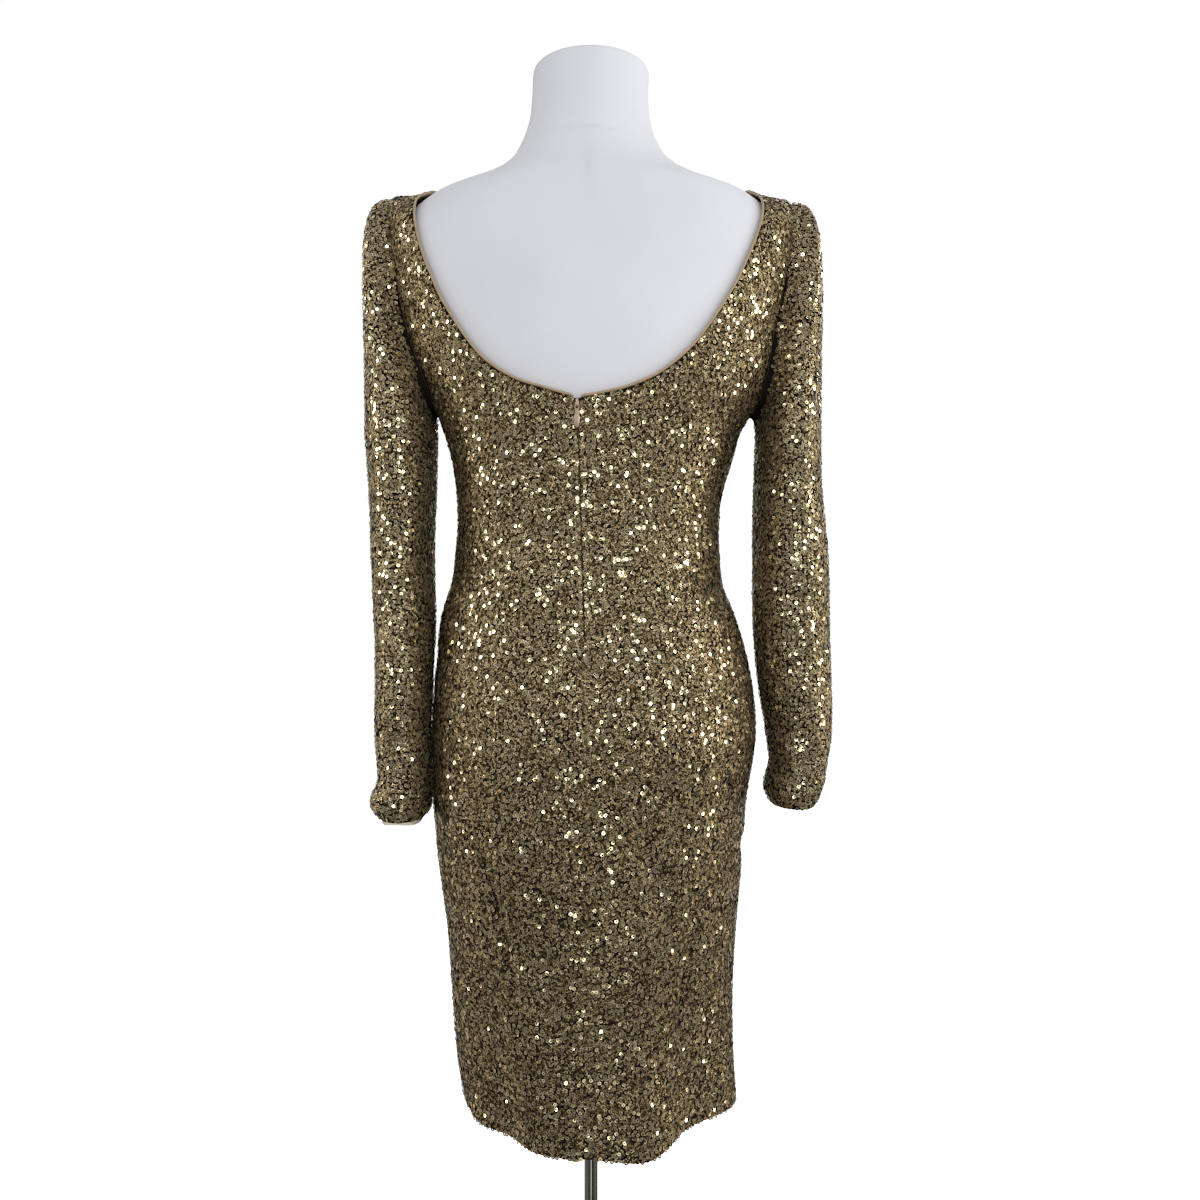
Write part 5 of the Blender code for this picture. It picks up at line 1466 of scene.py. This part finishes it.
FORM_BOTTOM, NECK_TOP, REST_GAP = 0.800, 1.545, 0.0006
FORM_COLUMNS = 100
FORM_HEIGHTS = (
    # start, end, steps
    (0.842, 1.320, 40),
    (1.324, 1.470, 46),
    (1.474, 1.535, 16),
)
FORM_SLACK = np.array(
    # height, slack
    [
        (0.780, 0.0060),
        (0.900, 0.0045),
        (1.000, 0.0042),
        (1.200, 0.0040),
        (1.300, 0.0030),
        (1.370, 0.0018),
        (1.405, 0.0010),
        (1.420, 0.0006),
        (1.440, 0.0006),
        (1.460, 0.0000),
        (1.600, 0.0000),
    ]
)
RIM_BELOW = np.array(
    # above the bottom, drawn in
    [
        (0.000, 0.0300),
        (0.001, 0.0235),
        (0.003, 0.0170),
        (0.006, 0.0113),
        (0.010, 0.0070),
        (0.015, 0.0037),
        (0.022, 0.0015),
        (0.030, 0.0004),
        (0.040, 0.0000),
    ]
)
RIM_ABOVE = np.array(
    # below the top, drawn in
    [
        (0.000, 0.0050),
        (0.0005, 0.0034),
        (0.001, 0.0025),
        (0.002, 0.0014),
        (0.004, 0.0005),
        (0.008, 0.0000),
    ]
)
CREASE_HEIGHT, CREASE_HALF, CREASE_AT, CREASE_REACH = 1.462, 0.0024, -0.002, 0.030
DARK_PATCH_HEIGHT, DARK_PATCH_HALF, DARK_PATCH_AT, DARK_PATCH_REACH = 1.418, 0.030, 0.001, 0.006
CREASE_PAINTED_SHADE, DARK_PATCH_DEPTH = 0.13, 0.10  # how much darker the jersey is there: painted shade in the crease, and a darker patch below it
CREASE_BREAKS = 1.6  # the crease's strength, for the noise that breaks it up
WOBBLE, FINE_WOBBLE = 0.012, 0.003  # of the crease's line
KNIT_RAISED = 0.15  # the knit's ribs, for the depth of the crease


def jersey_finish():
    """White jersey: fine knitted ribs down the form, a broken crease at the neck darkened by painted shade,
    and a soft darker patch below.
    """
    made, tree, shader = new_finish("white_jersey", Roughness=0.8, Sheen_Weight=0.15)
    place = add_node(tree, "ShaderNodeTexCoord", output=3)
    across, height = (add_node(tree, "ShaderNodeSeparateXYZ", sockets={0: place}, output=k) for k in (0, 2))
    knit = add_node(
        tree, "ShaderNodeTexWave", {"bands_direction": "X"}, {"Vector": place, "Scale": 300.0}, output=1
    )
    mottle = add_node(tree, "ShaderNodeTexNoise", sockets={"Vector": place, "Scale": 14.0, "Detail": 2.0})
    rough = add_node(tree, "ShaderNodeTexNoise", sockets={"Vector": place, "Scale": 120.0, "Detail": 2.0})

    def patch(level, half, at, reach):
        """1 at a place on the form, falling off up and down by half and across by reach."""
        return np.e ** -(((height - level) / half) ** 2 + ((across - at) / reach) ** 2)

    wobble = (mottle - 0.5) * WOBBLE + (rough - 0.5) * FINE_WOBBLE
    crease = patch(CREASE_HEIGHT + wobble, CREASE_HALF, CREASE_AT, CREASE_REACH) * rough * CREASE_BREAKS
    dark_patch = patch(DARK_PATCH_HEIGHT, DARK_PATCH_HALF, DARK_PATCH_AT + wobble, DARK_PATCH_REACH)
    shade = mixed(tree, mottle, linear(214, 215, 221), linear(226, 227, 233))
    # painted shade darkens the crease, and the patch below is darker too
    shade = mixed(tree, crease * CREASE_PAINTED_SHADE + dark_patch * DARK_PATCH_DEPTH, shade, linear(150, 152, 160))
    tree.links.new(shade.socket, shader.inputs["Base Color"])
    raised = knit * KNIT_RAISED - crease
    bump = add_node(tree, "ShaderNodeBump", sockets={"Strength": 0.5, "Distance": 0.0004, "Height": raised})
    tree.links.new(bump.socket, shader.inputs["Normal"])
    return made


jersey = jersey_finish()
height = np.concatenate(
    [
        FORM_BOTTOM + RIM_BELOW[:, 0],
        *(np.linspace(start, end, steps) for start, end, steps in FORM_HEIGHTS),
        NECK_TOP - RIM_ABOVE[::-1, 0],
    ]
)
drawn_in = np.interp(height - FORM_BOTTOM, *RIM_BELOW.T) + np.interp(NECK_TOP - height, *RIM_ABOVE.T)
inset = (drawn_in + REST_GAP + through(FORM_SLACK, 1, height))[:, None, None]
angle, level = np.broadcast_arrays(np.arange(FORM_COLUMNS) * 360 / FORM_COLUMNS, height[:, None])
rings = section_point(angle, level) - inset * normals_of(section_point, angle, level)
rings[..., 2] = np.where(drawn_in[:, None] > 0, level, rings[..., 2])
form = add_piece("form_jersey", body_points(rings), body_faces(*rings.shape[:2]), [jersey])
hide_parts("form_torso")
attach(form, DRESS)

# ---------------------------------------------------------------- stand
# A thin chromed tube up into the form, a turned collar at its foot and a heavy round plate with a sloped
# edge. Each is turned metal, polished and plated.

POLE_RADIUS, STAND_GAP = 0.00635, 0.0003
BASE_RADIUS, BASE_THICKNESS, BASE_BEVEL = 0.165, 0.008, 0.009
COLLAR_RADIUS, COLLAR_HEIGHT, COLLAR_BEVEL, COLLAR_EDGE = 0.019, 0.024, 0.002, 0.0004
TURNED_STEPS, POLE_STEPS = 128, 40


def chrome_finish():
    """Chrome plate: bright and almost clear, with faint polishing lines and a few dull patches."""
    made, tree, shader = new_finish("chrome", Metallic=1.0)
    place = add_node(tree, "ShaderNodeTexCoord", output=3)
    stretched = add_node(tree, "ShaderNodeMapping", sockets={"Vector": place, "Scale": (900.0, 900.0, 12.0)})
    lines = add_node(tree, "ShaderNodeTexNoise", sockets={"Vector": stretched, "Scale": 1.0})
    patches = add_node(tree, "ShaderNodeTexNoise", sockets={"Vector": place, "Scale": 18.0, "Detail": 3.0})
    shade = mixed(tree, patches, linear(152, 150, 146), linear(174, 172, 168))
    tree.links.new(shade.socket, shader.inputs["Base Color"])
    tree.links.new((0.05 + lines * 0.06 + patches * 0.06).socket, shader.inputs["Roughness"])
    return made


def turned_rings(profile):
    """Rings of a turned body from (radius, height) rows, low to high."""
    radius, height = np.array(profile)[:, :, None].transpose(1, 0, 2)
    turn = np.arange(TURNED_STEPS) * 2 * np.pi / TURNED_STEPS
    return np.stack([radius * np.cos(turn), radius * np.sin(turn), height + 0 * turn], -1)


chrome = chrome_finish()
pole_foot, collar_top = BASE_THICKNESS + STAND_GAP, BASE_THICKNESS + STAND_GAP + COLLAR_HEIGHT
slope = BASE_RADIUS - BASE_BEVEL
pole_heights = np.linspace(pole_foot, FORM_BOTTOM - STAND_GAP, POLE_STEPS)
rings = turned_rings([(POLE_RADIUS, height) for height in pole_heights])
pole = add_piece("pole_chrome", body_points(rings), body_faces(*rings.shape[:2]), [chrome])
rings = turned_rings(
    # radius, height
    [
        (BASE_RADIUS - 0.001, 0.0),
        (BASE_RADIUS - 0.0003, 0.0003),
        (BASE_RADIUS, 0.001),
        (BASE_RADIUS, BASE_THICKNESS * 0.55),
        (BASE_RADIUS - 0.0008, BASE_THICKNESS * 0.70),
        (BASE_RADIUS - BASE_BEVEL / 3, BASE_THICKNESS * 0.85),
        (slope + 0.002, BASE_THICKNESS * 0.98),
        (slope, BASE_THICKNESS),
        (COLLAR_RADIUS, BASE_THICKNESS),
    ]
)
base = add_piece("base_plate", body_points(rings), body_faces(*rings.shape[:2]), [chrome])
bore = POLE_RADIUS + STAND_GAP
rings = turned_rings(
    # radius, height
    [
        (bore, pole_foot),
        (COLLAR_RADIUS - COLLAR_EDGE, pole_foot),
        (COLLAR_RADIUS, pole_foot + COLLAR_EDGE),
        (COLLAR_RADIUS, collar_top - COLLAR_BEVEL),
        (COLLAR_RADIUS - COLLAR_BEVEL * 0.3, collar_top - COLLAR_BEVEL * 0.3),
        (COLLAR_RADIUS - COLLAR_BEVEL, collar_top),
        (bore + COLLAR_EDGE, collar_top),
        (bore, collar_top - COLLAR_EDGE),
    ]
)
collar = add_piece("collar_chrome", rings, [ring_faces(*rings.shape[:2])], [chrome])
for piece, node in ((pole, "stand_pole"), (base, "stand_base"), (collar, "stand_collar")):
    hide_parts(node)
    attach(piece, DRESS)
